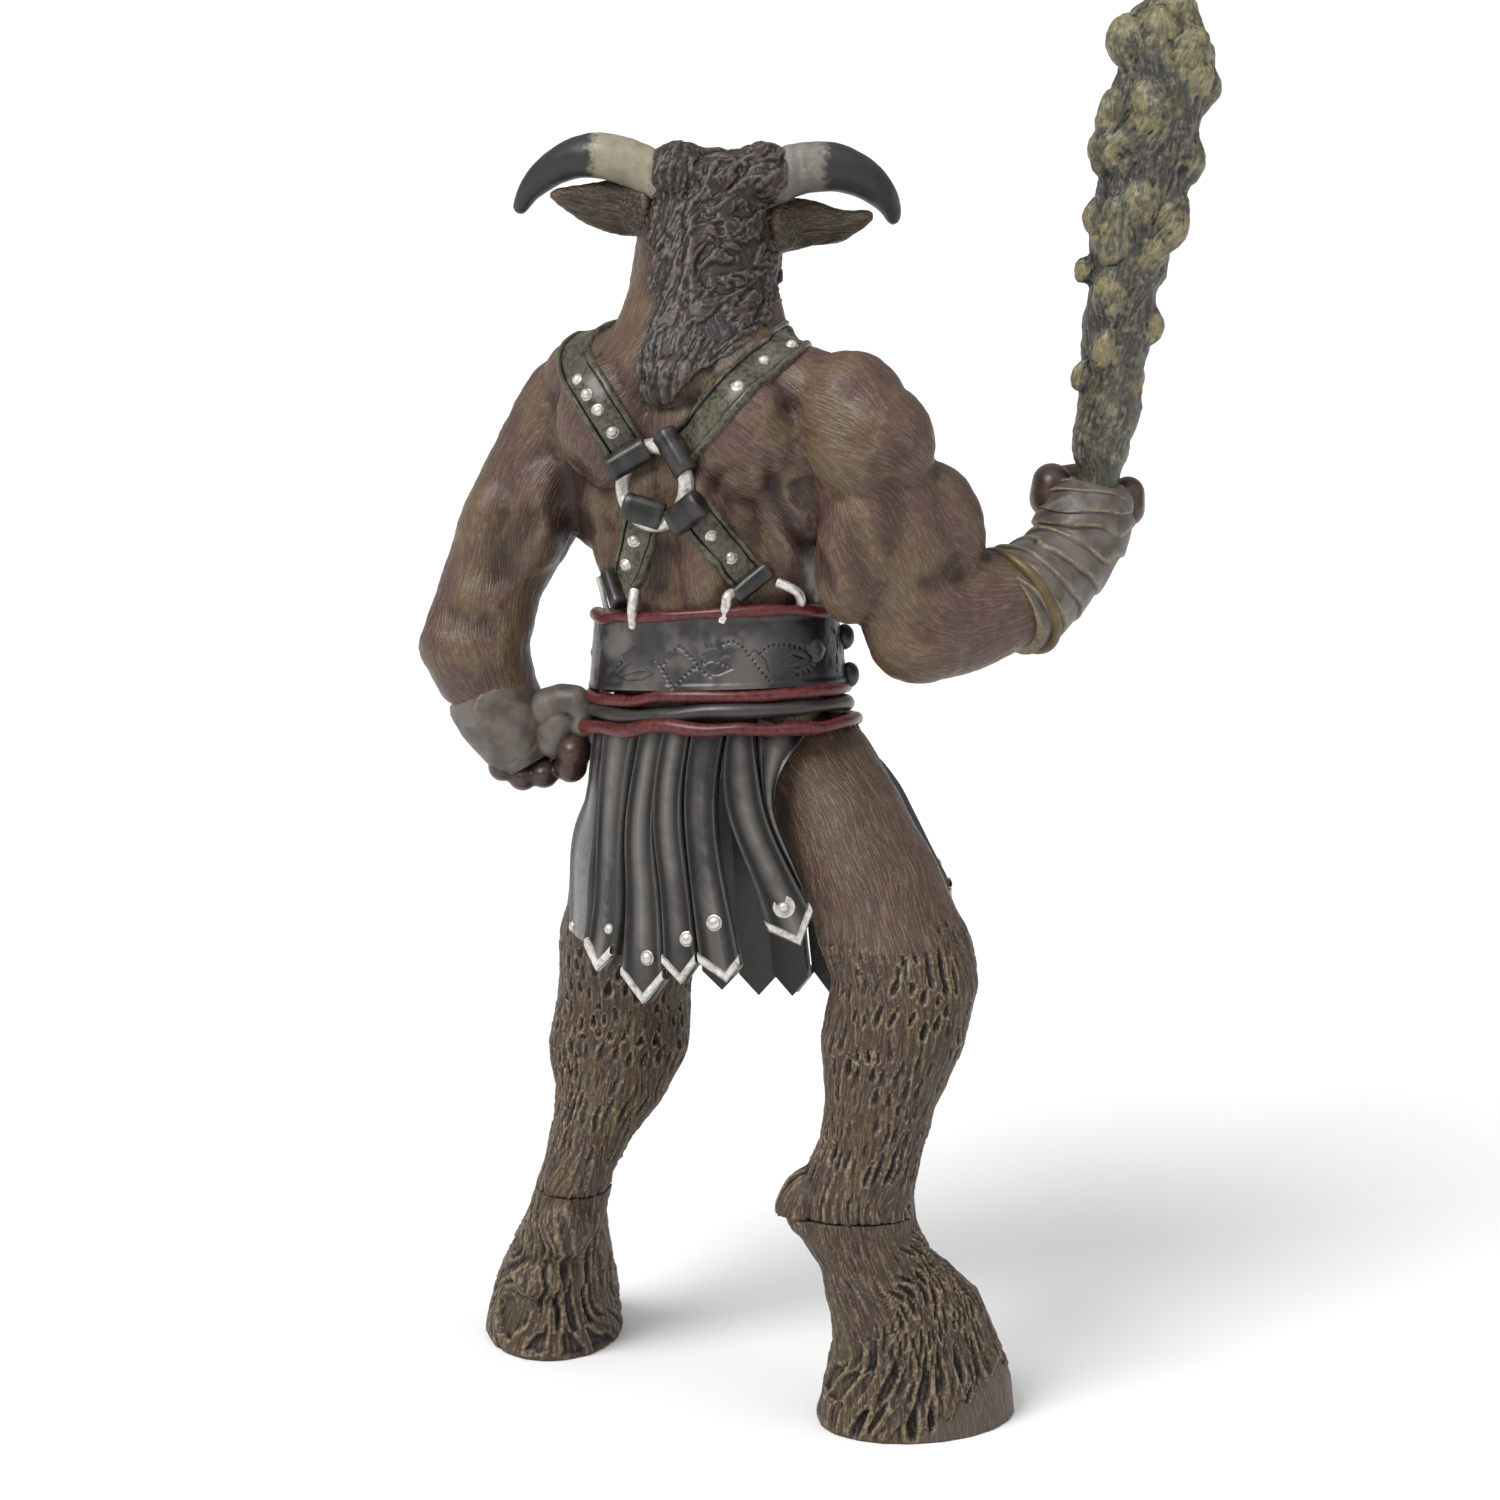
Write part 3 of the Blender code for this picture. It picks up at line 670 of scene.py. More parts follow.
def material(key):
    """The paints of the toy, each made once."""
    if key in bpy.data.materials:
        return bpy.data.materials[key]
    c = paints()
    # Enamel brushed on soft PVC in coats: satin, with a dark wash in hollows and pale paint on raised hair.
    # Its deep mask is painted shade in the broad hollows between the muscles and in the creases.
    if key == "painted_pvc_skin":
        return hand_paint(
            key, c.skin, "#5B4A37", c.skin_shade, c.skin_light, 0.4, patch_size=3.6,
            stroke=(0.2, 1.1, 0.13), wash_share=0.9, brush_share=0.3, bump=0.035, sheen=0.32, brushed=True,
            masks=(("olive", c.skin_olive), ("deep", c.skin_shade), ("hair", c.mane)),
        )
    # The same enamel over deep moulded fur: darker in the grooves, so the tufts stand out.
    if key == "painted_pvc_fur":
        return hand_paint(
            key, c.fur, "#463827", c.fur_shade, c.fur_light, 0.44, patch_size=3.0, brushed=True,
            stroke=(0.18, 1.2, 0.24), brush_share=0.8, bump=0.05, ridge_from=0.2, sheen=0.32,
            masks=(("bare", c.skin), ("olive", c.skin_olive), ("hoof", c.hoof)),
        )
    # Near black enamel on the moulded mane: its locks catch a grey dry brush.
    if key == "painted_pvc_mane":
        return hand_paint(
            key, c.mane, "#3A2A23", "#120E0D", c.mane_light, 0.4, patch_size=2.2,
            brush_share=0.5, bump=0.03, sheen=0.35, ridge_from=0.3,
        )
    # Gloss varnish over dark enamel: the eyes shine more than anything round them.
    if key == "eye_gloss":
        return hand_paint(
            key, "#1A1210", "#2A1A14", "#0C0808", "#3A2A22", 0.15,
            patch_size=1.0, bump=0.0, sheen=0.5,
        )
    # Enamel on moulded hair, dark brown: an ear looks streaked along its length.
    if key == "painted_pvc_ear":
        return hand_paint(
            key, "#2C221E", "#3B3022", c.fur_shade, "#6A5A42", 0.4,
            stroke=(0.18, 1.6, 0.5), wash_share=0.9, bump=0.05,
        )
    # Satin black enamel on smooth moulded leather: long soft lights and grey where the edges are rubbed. Its
    # masks add wear and painted sheen in grey, and painted shade and darker parts in near black.
    if key == "painted_pvc_leather":
        return hand_paint(
            key, c.leather, "#2B2929", "#0A0809", c.leather_light, 0.34, patch_size=5.0,
            wash_share=0.95, brush_share=0.2, bump=0.006, sheen=0.5, ridge_from=0.2,
            masks=(("wear_and_sheen", "#76726C"), ("deep", "#0B090A")),
        )
    # The same black on narrow straps, rubbed olive grey all over: a grainy, speckled look.
    if key == "painted_pvc_strap":
        return hand_paint(
            key, "#1E1C1C", "#2C2A24", "#0A0809", "#6F6A55", 0.34,
            patch_size=1.6, wash_share=0.95, brush_share=0.5, bump=0.03, sheen=0.45, ridge_from=0.3,
            masks=(("wear_and_sheen", "#4B4738"),),
        )
    # Dark red enamel, satin: the rolls show a brighter line along the top.
    if key == "painted_pvc_red_roll":
        return hand_paint(
            key, c.red, "#3E1617", "#120A0B", "#743A38", 0.32, patch_size=2.5,
            brush_share=0.4,
        )
    # Silver enamel: flakes in a clear binder, so it shines less than bare metal.
    if key == "silver_enamel":
        return hand_paint(
            key, c.silver, "#A59E97", "#3C3534", "#F2EFEA", 0.34, metallic=0.55,
            patch_size=0.7, wash_share=0.95,
        )
    # Gold enamel gone dull: a soft brown shine with no hard lights.
    if key == "gold_enamel":
        return hand_paint(
            key, c.gold, "#463A28", "#241A12", "#8E7B52", 0.42, metallic=0.3,
            patch_size=2.0, brush_share=0.25, bump=0.004,
        )
    # Grey brown enamel on the moulded cloth wraps: tan is caught by every edge, and a painted shadow lies on
    # the back of the right hand.
    if key == "painted_pvc_wrap":
        return hand_paint(
            key, c.wrap, "#4C443E", "#251E19", "#94805F", 0.42, patch_size=2.2,
            brush_share=0.85, bump=0.03, ridge_from=0.3, masks=(("deep", "#332D2A"),),
        )
    # Dark brown enamel on the bare hands: smoother and a little wetter than the skin.
    if key == "painted_pvc_hand":
        return hand_paint(
            key, "#33221F", "#3E2B25", "#140D0D", "#5E4A40", 0.32,
            patch_size=2.0, wash_share=0.9, brush_share=0.4,
        )
    # Blue grey enamel on moulded bark, olive tan over the knobs: dry and granular, with painted shade in the
    # valleys.
    if key == "painted_pvc_bark":
        return hand_paint(
            key, c.wood, "#4E4D45", "#1E1E1D", c.wood_light, 0.42, patch_size=3.0,
            stroke=(0.25, 1.0, 0.12), brush_share=0.5, bump=0.05, ridge_from=0.1,
            masks=(("knob", "#7A704F"), ("moss", "#3D3D30"), ("valley", "#363432")),
        )
    raise KeyError(key)


# The figure's shapes, as in the CAD source but with more muscles

RIGHT_LEG = [
    ((5.5, -2.5, 65.0), (6.8, 6.5, 5)),
    ((8.4, -5.0, 61.5), (6.4, 6.6, 4)),
    ((11.2, -8.0, 55.5), (7.1, 7.0, 4)),
    ((14.0, -11.0, 49.6), (7.3, 6.8, 4)),
    ((15.3, -13.0, 45.5), (7.0, 6.4, 3.5)),
    ((14.0, -14.5, 39.7), (7.0, 5.8, 3)),
    ((12.9, -15.0, 33.7), (5.4, 4.9, 3)),
    ((11.9, -15.5, 28.9), (4.9, 4.4, 3)),
    ((10.2, -15.8, 24.2), (5.7, 4.3, 2.6)),
    ((10.6, -15.6, 20.6), (5.8, 4.4, 2)),
    ((12.6, -15.2, 17.0), (5.6, 4.6, 2)),
    ((15.4, -14.4, 12.6), (7.6, 5.2, 2)),
    ((16.4, -13.8, 8.4), (8.2, 5.8, 2)),
    ((16.9, -13.4, 4.0), (9.6, 6.8, 1.6)),
    ((16.7, -13.0, -0.4), (10.2, 7.8, 1.6)),
]
LEFT_LEG = [
    ((-9.0, 2.5, 65.0), (6.5, 6.5, 5)),
    ((-11.0, 5.5, 55.0), (6.8, 7.0, 4)),
    ((-12.6, 8.8, 44.0), (6.8, 7.0, 4)),
    ((-13.1, 9.6, 37.0), (6.7, 6.6, 3)),
    ((-13.6, 8.6, 32.5), (7.3, 6.0, 3)),
    ((-14.4, 6.8, 28.2), (5.5, 5.4, 3)),
    ((-16.1, 5.0, 24.6), (4.0, 4.8, 3)),
    ((-17.8, 3.8, 20.4), (3.6, 4.8, 2)),
    ((-18.9, 4.2, 15.2), (3.9, 4.7, 2)),
    ((-19.8, 7.0, 10.8), (5.0, 5.4, 2)),
    ((-20.3, 9.4, 6.2), (6.1, 7.4, 2)),
    ((-20.6, 10.6, 3.0), (6.8, 9.0, 1.6)),
    ((-20.6, 11.0, -0.4), (7.1, 9.8, 1.6)),
]
SOLE_TURNS = {"right": (0, 0, 18), "left": (0, 0, -4)}
SEAMS = {"right": 22.4, "left": 18.5}
SEAM_GAP = 0.1
RIGHT_ARM = [
    (trunk(16.5, -1.0, 100.1), (5.8, 5.8, 6.4)),
    ((13.4, -7.6, 90.0), (6.4, 6.0, 6.0)),
    ((16.4, -8.4, 78.7), (5.0, 4.8, 4.8)),
    ((21.0, -5.5, 80.6), (5.6, 5.6, 6.0)),
    ((27.4, -2.5, 81.7), (4.3, 4.5, 4.6)),
    ((31.2, 1.0, 85.0), (3.2, 3.2, 3.2)),
]
LEFT_ARM = [
    (trunk(-16.6, -0.5, 97.6), (4.8, 5.0, 6.0)),
    ((-23.2, 10.2, 87.0), (6.1, 5.4, 5.0)),
    ((-26.2, 8.4, 80.5), (5.3, 4.8, 4.0)),
    ((-27.9, 6.6, 74.6), (5.7, 4.6, 4.0)),
    ((-26.8, 7.0, 71.4), (5.2, 4.6, 3.6)),
    ((-25.0, 6.5, 68.6), (3.8, 3.6, 2.8)),
    ((-22.6, 6.0, 66.4), (2.6, 2.6, 2.2)),
]
NECK = [
    ((-5.0, 3.0, 103.6), (9.8, 8.6, 5)),
    ((-4.6, 7.0, 110.0), (7.5, 8.0, 5)),
    ((-4.1, 11.0, 116.4), (7.1, 8.6, 6.4)),
]
MUZZLE = [
    ((FACE_MIDDLE, 13.0, 117.0), (6.4, 7.4, 6.4)),
    ((FACE_MIDDLE, 20.6, 112.0), (4.6, 5.0, 4.6)),
    ((FACE_MIDDLE, 26.4, 107.6), (4.2, 3.2, 3.4)),
]
CLUB_AXIS = [
    ((34.2, 3.6, 84.0), 2.0),
    ((34.7, 3.7, 92.6), 2.1),
    ((35.0, 3.8, 96.0), 2.8),
    ((35.6, 4.0, 100.0), 3.0),
    ((36.2, 4.0, 105.0), 3.3),
    ((36.5, 4.0, 110.0), 3.5),
    ((37.3, 4.0, 115.0), 4.1),
    ((38.1, 4.0, 120.0), 4.0),
    ((38.8, 4.0, 124.4), 4.8),
    ((39.3, 4.0, 128.0), 4.8),
    ((40.6, 4.0, 131.6), 4.6),
    ((40.0, 4.0, 135.0), 4.1),
    ((40.5, 4.0, 137.4), 1.7),
]


def trunk_shapes():
    found = [rounded(trunk(0, 0, 71), (11.2, 9.0, 8.5), TRUNK_TURN)]
    core = [
        (trunk(0, 0, 76), (11.0, 8.4, 5)),
        (trunk(0, 0.5, 88), (12.1, 9.1, 6)),
        (trunk(0, 1.0, 98), (13.1, 9.2, 6.5)),
    ]
    found += chain(core, TRUNK_TURN)
    for side in (-1, 1):
        lat = [(trunk(11 * side, -2.0, 97), (5.2, 5.2, 6)), (trunk(8.6 * side, -1.0, 84), (3.2, 5, 4))]
        trap = [(trunk(4 * side, -1.5, 103.4), (5, 5.4, 5)), (trunk(13 * side, -1, 102), (4.6, 4.8, 4))]
        found += chain(lat, TRUNK_TURN) + chain(trap, TRUNK_TURN)
        found.append(rounded(trunk(7.8 * side, -6.9, 98.2), (5.4, 3.6, 6.4), TRUNK_TURN))
        found.append(rounded(trunk(3.4 * side, -7.2, 87), (2.9, 2.5, 9), TRUNK_TURN))
        found.append(rounded(trunk(6.4 * side, 7.8, 96), (6.8, 3.8, 5.6), TRUNK_TURN))
        for row in range(3):
            spot = trunk(2.9 * side, 8.4, 88.5 - 4.2 * row)
            found.append(rounded(spot, (3.3, 1.9, 2.5), TRUNK_TURN))
    found += chain([((-14.6, 6.6, 96.0), 5.2), ((-14.8, 7.4, 87.6), (3.2, 4.4, 3.4))])
    return found


# Place, radii and turn: deltoid, triceps, biceps and elbow of the right arm, then the last three of the left.
ARM_MUSCLES = [
    ((11.6, -8.6, 97.4), (6.4, 5.4, 6.6), (0, -12, 0)),
    ((10.8, -9.6, 88.0), (4.6, 4.8, 8.0), (0, 12, 0)),
    ((18.0, -6.4, 89.2), (4.9, 4.9, 6.8), (0, -14, 0)),
    ((17.4, -9.2, 80.6), (4.6, 4.0, 6.0), (0, -20, 0)),
    ((-21.2, 7.0, 88.0), (4.0, 4.0, 8.0), (0, 24, 0)),
    ((-26.2, 8.2, 86.0), (3.4, 3.8, 6.4), (0, 16, 0)),
    ((-27.6, 5.0, 74.4), (4.8, 3.2, 5.4), (0, 12, 0)),
]


def arm_shapes():
    return chain(RIGHT_ARM) + chain(LEFT_ARM) + [rounded(*muscle) for muscle in ARM_MUSCLES]


def stations_at(rows):
    """Stations of a limb from rows of photo pixel, distance forward and radii."""
    return [(spot_at(px, py, forward), radii) for px, py, forward, radii in rows]


# The left hand's knuckles on the photo: pixel, distance forward and radius.
KNUCKLES = [
    (503, 766, 5.6, 1.55), (523, 775, 5.2, 1.6), (544, 773, 4.8, 1.55),
    (571, 766, 4.0, 1.7), (574, 750, 3.6, 1.9),
]


def hand_shapes():
    """Fists: fingers curled round the club on the right, knuckles and thumb against the hip on the left."""
    found = []
    for row in range(4):
        z = 91.4 - 2.3 * row
        found += chain([
            ((30.9, 4.6, z), 1.35), ((30.6, 7.2, z + 0.2), 1.3),
            ((33.0, 8.6, z + 0.4), 1.25), ((36.0, 7.6, z + 0.5), 1.15),
        ])
    found += chain(stations_at([(1052, 482, 3.4, (2.0, 2.6, 1.9)), (1050, 498, 3.2, (2.1, 2.8, 2.1))]))
    found += chain(stations_at([(1128, 494, 5.2, (1.7, 2.2, 1.8)), (1129, 508, 4.6, (1.6, 2.4, 1.8))]))
    found += chain(stations_at([(1110, 500, 7.0, 1.9), (1070, 492, 7.4, 1.7)]))
    for px, py, forward, size in KNUCKLES:
        spot = np.array(spot_at(px, py, forward))
        found += chain([(tuple(spot), (size, size * 1.3, size)), (tuple(spot + (0.6, 5.0, 0.8)), size * 0.8)])
    return found


def head_shapes():
    found = chain(NECK) + chain(MUZZLE)
    for x in (-7.2, 1.0):
        found.append(rounded((x, 8.6, 121.9), (3.3, 3.8, 3.1)))
        found.append(rounded((x * 0.86 - 0.5, 17.6, 117.4), (2.4, 2.8, 1.5), (20, 0, 0)))
        found.append(rounded((x * 0.62 - 1.4, 27.4, 108.4), (1.7, 1.8, 1.7)))
    found.append(rounded((-3.2, 8.6, 120.9), (5.6, 4.0, 3.2)))
    found.append(rounded((FACE_MIDDLE, 24.8, 105.0), (3.1, 3.4, 1.6), (-38, 0, 0)))
    return found


# Creases between the muscles, drawn on the photo: width and depth in millimetres, then pixels.
CREASES = [
    (0.8, 0.7, [(772, 440), (770, 472), (776, 500), (792, 528), (812, 556), (826, 584), (836, 612)]),
    (0.8, 0.35, [(790, 392), (778, 425), (771, 450)]),
    (1.1, 0.6, [(792, 478), (798, 494), (793, 512)]),
    (0.6, 0.4, [(706, 506), (714, 482), (728, 470), (742, 472), (750, 486)]),
    (1.2, 0.6, [(668, 532), (660, 566), (658, 606)]),
    (1.5, 0.45, [(742, 506), (762, 548), (784, 592)]),
    (1.5, 0.8, [(592, 462), (568, 482), (558, 508), (572, 530), (604, 540)]),
    (1.0, 0.4, [(614, 516), (596, 532), (576, 530)]),
    (1.4, 0.7, [(540, 492), (522, 526), (502, 558), (488, 596)]),
    (1.0, 0.45, [(514, 500), (498, 530), (486, 560)]),
    (1.2, 0.55, [(444, 596), (454, 620), (478, 628), (504, 614)]),
    (0.9, 0.5, [(970, 548), (956, 566), (936, 580), (908, 590)]),
    (1.6, 0.5, [(884, 462), (896, 510), (888, 566)]),
    (1.5, 0.5, [(838, 500), (856, 560), (874, 616)]),
    (1.4, 0.45, [(916, 446), (892, 468), (858, 476)]),
    (1.2, 0.35, [(824, 420), (850, 440), (884, 440)]),
    (1.2, 0.3, [(900, 620), (940, 630), (980, 622)]),
]


def near_line(spots, pixels):
    """How far each pixel lies from a drawn line, and how far along it that is, both in pixels."""
    line = np.array(pixels, float)
    nearest, along, begun = np.full(len(spots), 1e9), np.zeros(len(spots)), 0.0
    for a, b in zip(line, line[1:]):
        long = np.linalg.norm(b - a)
        t = np.clip((spots - a) @ (b - a) / long**2, 0, 1)
        far = np.linalg.norm(spots - a - t[:, None] * (b - a), axis=1)
        closer = far < nearest
        nearest[closer], along[closer] = far[closer], (begun + t * long)[closer]
        begun += long
    return nearest, along, begun


def carve(obj):
    """Presses creases into the side that the photo shows, and a mouth and nostrils into the face.

    Gives how deep in a crease each point lies, from 0 to 1."""
    points, normals = read(obj)
    spots = np.stack(pixels_of(points), axis=1)
    _, ahead, _ = camera_frame()
    facing = step(-(normals @ np.array(ahead)), -0.15, 0.2) * step(-points[:, 1], -14, -10)
    push = np.zeros(len(points))
    for wide, deep, pixels in CREASES:
        far, along, total = near_line(spots, pixels)
        fade = np.clip(np.sin(math.pi * np.clip(along / total, 0.04, 0.96)) * 1.6, 0, 1)
        push = np.minimum(push, -deep * fade * np.exp(-((far / 10) ** 2) / (2 * wide * wide)))
    push *= facing
    for side in (-1, 1):
        off = points - np.array((FACE_MIDDLE + 2.0 * side, 29.4, 108.9))
        push -= 0.9 * np.exp(-(off[:, 0] ** 2 + 0.4 * off[:, 1] ** 2 + 1.6 * off[:, 2] ** 2) / 0.5)
    lips = points[:, 2] - 106.0 - 0.28 * (28.0 - points[:, 1])
    lips = 0.4 * np.exp(-((lips / 0.34) ** 2))
    push -= lips * step(points[:, 1], 20.5, 22.5) * step(points[:, 2], 112, 110)
    write(obj, points + normals * push[:, None])
    return step(-push, 0.2, 0.65)


BACK_FLOW = [
    (trunk(0, -9, 98), (0, -0.2, -1)),
    (trunk(0, -9, 86), (0.1, 0, -1)),
    (trunk(7, -9, 100), (0.75, -0.2, -0.65)),
    (trunk(8, -9, 92), (0.6, 0, -0.8)),
    (trunk(-7, -9, 100), (-0.7, 0, -0.7)),
    (trunk(-8, -9, 91), (-0.5, 0, -0.85)),
    (trunk(8, -8, 82), (0.2, 0, -1)),
    (trunk(-8, -8, 82), (-0.2, 0, -1)),
    ((8.0, -12.0, 101.0), (0.9, -0.1, -0.35)),
    ((13.0, -13.0, 100.0), (0.7, -0.1, -0.7)),
    ((18.0, -10.0, 98.0), (0.45, 0, -0.9)),
    (trunk(0, 10, 95), (0, 0, -1)),
    ((-4.0, 4.0, 112.0), (0, -0.3, -1)),
    ((-4.0, 20.0, 118.0), (0, 0.8, -0.6)),
]


# The hairy back of the head on the photo: rows of height, left edge and right edge in pixels.
HAIR_ROWS = np.array([
    (110, 640, 790), (180, 644, 784), (240, 646, 782), (300, 650, 778), (325, 652, 768),
    (350, 642, 738), (375, 640, 700), (392, 646, 684), (404, 656, 668), (412, 661, 661),
])
HAIR_TIP = HAIR_ROWS[-1, 0]


def hair_share(points, normals):
    """From 0 on bare skin to 1 under the mane."""
    px, py = pixels_of(points)
    left, right = (np.interp(py, HAIR_ROWS[:, 0], HAIR_ROWS[:, k]) for k in (1, 2))
    ragged = 14 * (noise(points, 1.4, 21) - 0.5)
    inside = np.minimum(px - left, right - px) + ragged
    face = points[:, 1] > 11.5 + 4 * (noise(points, 1.6, 22) - 0.5)
    inside = np.where((py > HAIR_TIP) | (normals[:, 1] > 0.5) | face, -20, inside)
    crown = step(points[:, 2], 119.5, 121.5) * step(points[:, 1], 15.5, 13)
    return np.maximum(step(inside, -7, 7), 0.85 * crown)


class MINOTAUR_OT_upper_body(bpy.types.Operator):
    """Trunk, arms, neck and head in one skin, with creases between the muscles"""

    bl_idname = "minotaur.upper_body"
    bl_label = "Upper body"

    def execute(self, context):
        shapes = trunk_shapes() + arm_shapes() + head_shapes()
        skin = fused(shapes, "upper_body", sizes().skin_grain, 17)
        pressed = carve(skin)
        points, normals = read(skin)
        pairs = edges_of(skin)
        points = blurred(points, pairs, 2)
        flow = flow_over(points, normals, BACK_FLOW + chain_guides(RIGHT_ARM) + chain_guides(LEFT_ARM))
        swirl = 0.9 * (noise(points, 6.0, 31) - 0.5) + 0.5 * (noise(points, 2.5, 32) - 0.5)
        flow = swirled(flow, normals, swirl)
        strokes = streaks(points, flow, 0.42, 2.4, 3)
        lumps = noise(points, 3.0, 5) + 0.5 * noise(points, 1.5, 6) - 0.75
        calm = 1 - 0.8 * pressed
        pebbles = noise(points, 0.75, 33) + 0.6 * noise(points, 0.45, 34) - 0.8
        push = 0.06 * (strokes - 0.5) + 0.2 * lumps + 0.09 * pebbles
        write(skin, points + normals * (push * calm)[:, None])
        store_relief(skin, flow, 0.065, 0.45)
        points, normals = read(skin)
        broad = below_rings(points, normals, pairs, FORM_RINGS)
        warm = step(noise(points, 5.0, 41) + 0.4 * noise(points, 1.2, 42), 0.45, 0.85)
        attribute(skin, "olive", 0.5 * (step(-broad, 0.1, 0.9) * warm))
        attribute(skin, "hair", hair_share(points, normals))
        # Painted shade: the broad hollows between the muscles and the pressed creases are darkened with the
        # skin's shade colour.
        attribute(skin, "deep", np.maximum(0.35 * step(broad, 0.2, 1.1), 0.7 * pressed))
        finish_piece(skin, "upper_body", "painted_pvc_skin")
        hands = fused(hand_shapes(), "hands", HAND_GRAIN, 4)
        store_relief(hands, None, 0.05, 0.25)
        finish_piece(hands, "hands", "painted_pvc_hand")
        return {"FINISHED"}


def keep_side(obj, height, above):
    """Cuts a piece flat at a height, keeps what is above or below, and closes the cut."""
    plane = {"plane_co": (0, 0, height * MM), "plane_no": (0, 0, 1)}
    on_all([obj], bpy.ops.mesh.bisect, use_fill=True, clear_outer=not above, clear_inner=above, **plane)


class MINOTAUR_OT_legs(bpy.types.Operator):
    """Thighs and calves down to the seams, the calves gouged like thick fur"""

    bl_idname = "minotaur.legs"
    bl_label = "Legs"

    def execute(self, context):
        for side, stations, knee in (("right", RIGHT_LEG[:10], 49.5), ("left", LEFT_LEG[:9], 50.0)):
            shapes = chain(stations)
            if side == "right":
                shapes.append(rounded((5.4, -15.8, 23.4), (2.6, 2.8, 3.6), (0, 28, 0)))
            leg = fused(shapes, side + "_leg", sizes().fur_grain, 13)
            points, normals = read(leg)
            flow = flow_over(points, normals, chain_guides(stations))
            flow = swirled(flow, normals, 0.8 * (noise(points, 5.0, 31) - 0.5))
            edge = knee + 4.0 * (noise(points, 3.0, 1) - 0.5) + 0.1 * points[:, 0]
            fur = step(edge - points[:, 2], -0.6, 2.6)
            # Small gouges in close rows on the calf, longer ones below it.
            jog = 0.7 * (noise(points, 3.2, 71) - 0.5)
            low = step(points[:, 2], 36, 27)
            pits = 0
            for share, cells, tall, seed, size in (
                (1 - low, 27, 2.5, 7, (0.23, 0.38)), (low, 29, 3.4, 8, (0.26, 0.44)),
            ):
                around, along = limb_lines(points, stations, cells, tall)
                pits = pits + share * gouges(around + jog, along - jog, cells, seed, *size)
            strands = streaks(points, flow, 0.4, 2.6, 9) - 0.5
            depth = sizes().fur_depth / MM
            thick = 0.45 + 0.55 * step(noise(points, 5.0, 73), 0.35, 0.6)
            push = fur * (0.2 + 0.2 * strands - 1.15 * depth * pits * thick)
            push += (1 - fur) * 0.08 * strands
            push += 0.3 * (noise(points, 3.0, 12) - 0.5)
            write(leg, points + normals * push[:, None])
            store_relief(leg, flow, 0.075, 0.36)
            attribute(leg, "bare", 0.7 * (1 - fur))
            warm = step(noise(points, 5.0, 41) + 0.4 * noise(points, 1.2, 42), 0.5, 0.9)
            attribute(leg, "olive", 0.3 * warm * (1 - fur))
            keep_side(leg, SEAMS[side], above=True)
            finish_piece(leg, side + "_leg", "painted_pvc_fur")
        return {"FINISHED"}


class MINOTAUR_OT_lower_legs(bpy.types.Operator):
    """The shanks and hooves below the seams, with long flowing tufts"""

    bl_idname = "minotaur.lower_legs"
    bl_label = "Lower legs"

    def execute(self, context):
        for side, stations in (("right", RIGHT_LEG), ("left", LEFT_LEG)):
            high = [s for s in stations if s[0][2] < SEAMS[side] + 8]
            shapes = chain(high[:-4]) + chain(high[-5:], SOLE_TURNS[side])
            if side == "right":
                shapes.append(rounded((6.0, -15.8, 21.9), (2.3, 2.6, 2.2), (0, 40, 0)))
                shapes.append(rounded((18.0, -13.6, 11.2), (5.2, 4.6, 4.6), (0, 36, 0)))
            else:
                shapes.append(rounded((-19.0, 0.8, 14.8), (2.6, 2.4, 3.6), (20, 0, 0)))
                shapes.append(rounded((-21.4, 3.6, 8.6), (3.4, 2.8, 2.4)))
            leg = fused(shapes, side + "_lower_leg_skin", sizes().fur_grain, 9)
            points, normals = read(leg)
            flow = flow_over(points, normals, chain_guides(high))
            px, py = pixels_of(points)
            ragged = 9 * np.sin(px / 3.1) + 12 * (noise(points, 1.5, 3) - 0.5)
            if side == "right":
                line = np.interp(px, [905, 930, 960, 990, 1020], [1450, 1425, 1408, 1372, 1345])
                hoof = step(py - line + ragged * 0.8, -3, 3) * step(normals[:, 1], 0.6, 0.2)
                dense, tufts = step(px + 0.25 * (py - 1300), 872, 915), step(py, 1320, 1380)
                cells, tall, bend, lean = 24, 5.2, 0.12, 0.10
            else:
                hoof = step(points[:, 1], 11.5, 12.5) * step(6.2 + ragged * 0.08 - points[:, 2], 0, 0.5)
                dense, tufts = 0.5 * step(px, 580, 545), 0.35 + 0.65 * step(py, 1215, 1290)
                cells, tall, bend, lean = 19, 6.6, 0.16, -0.05
            around, along = limb_lines(points, high, cells, tall)
            wave = bend * cells * (noise(points, 6.0, 51) - 0.5) + lean * cells * step(points[:, 2], 18, 0)
            wander = noise(points, 2.6, 52) - 0.5
            long = gouges(around + wave + 0.6 * wander, along, cells, 14, 0.3, 0.6, 0.35)
            slim, slim_along = limb_lines(points, high, cells * 2 + 1, tall * 0.5)
            short = gouges(slim + 2 * wave + 0.8 * wander, slim_along, cells * 2 + 1, 18, 0.32, 0.5)
            pits = tufts * long + 0.75 * short * (0.15 + 0.85 * dense) * (1 - 0.6 * tufts)
            fine = streaks(points, flow, 0.4, 2.8, 6)
            depth = sizes().fur_depth / MM
            near_seam = step(SEAMS[side] - points[:, 2], -0.2, 2.4)
            push = (1 - hoof) * (0.2 - 1.5 * depth * pits * (0.15 + 0.85 * near_seam) + 0.22 * (fine - 0.5))
            push += 0.35 * (noise(points, 3.4, 12) - 0.5) * (1 - hoof)
            write(leg, points + normals * (push * step(points[:, 2], -0.2, 0.8))[:, None])
            store_relief(leg, flow, 0.075, 0.36)
            attribute(leg, "hoof", hoof)
            keep_side(leg, SEAMS[side] - SEAM_GAP, above=False)
            keep_side(leg, 0.0, above=True)
            finish_piece(leg, side + "_lower_leg_skin", "painted_pvc_fur", side + "_lower_leg")
        return {"FINISHED"}


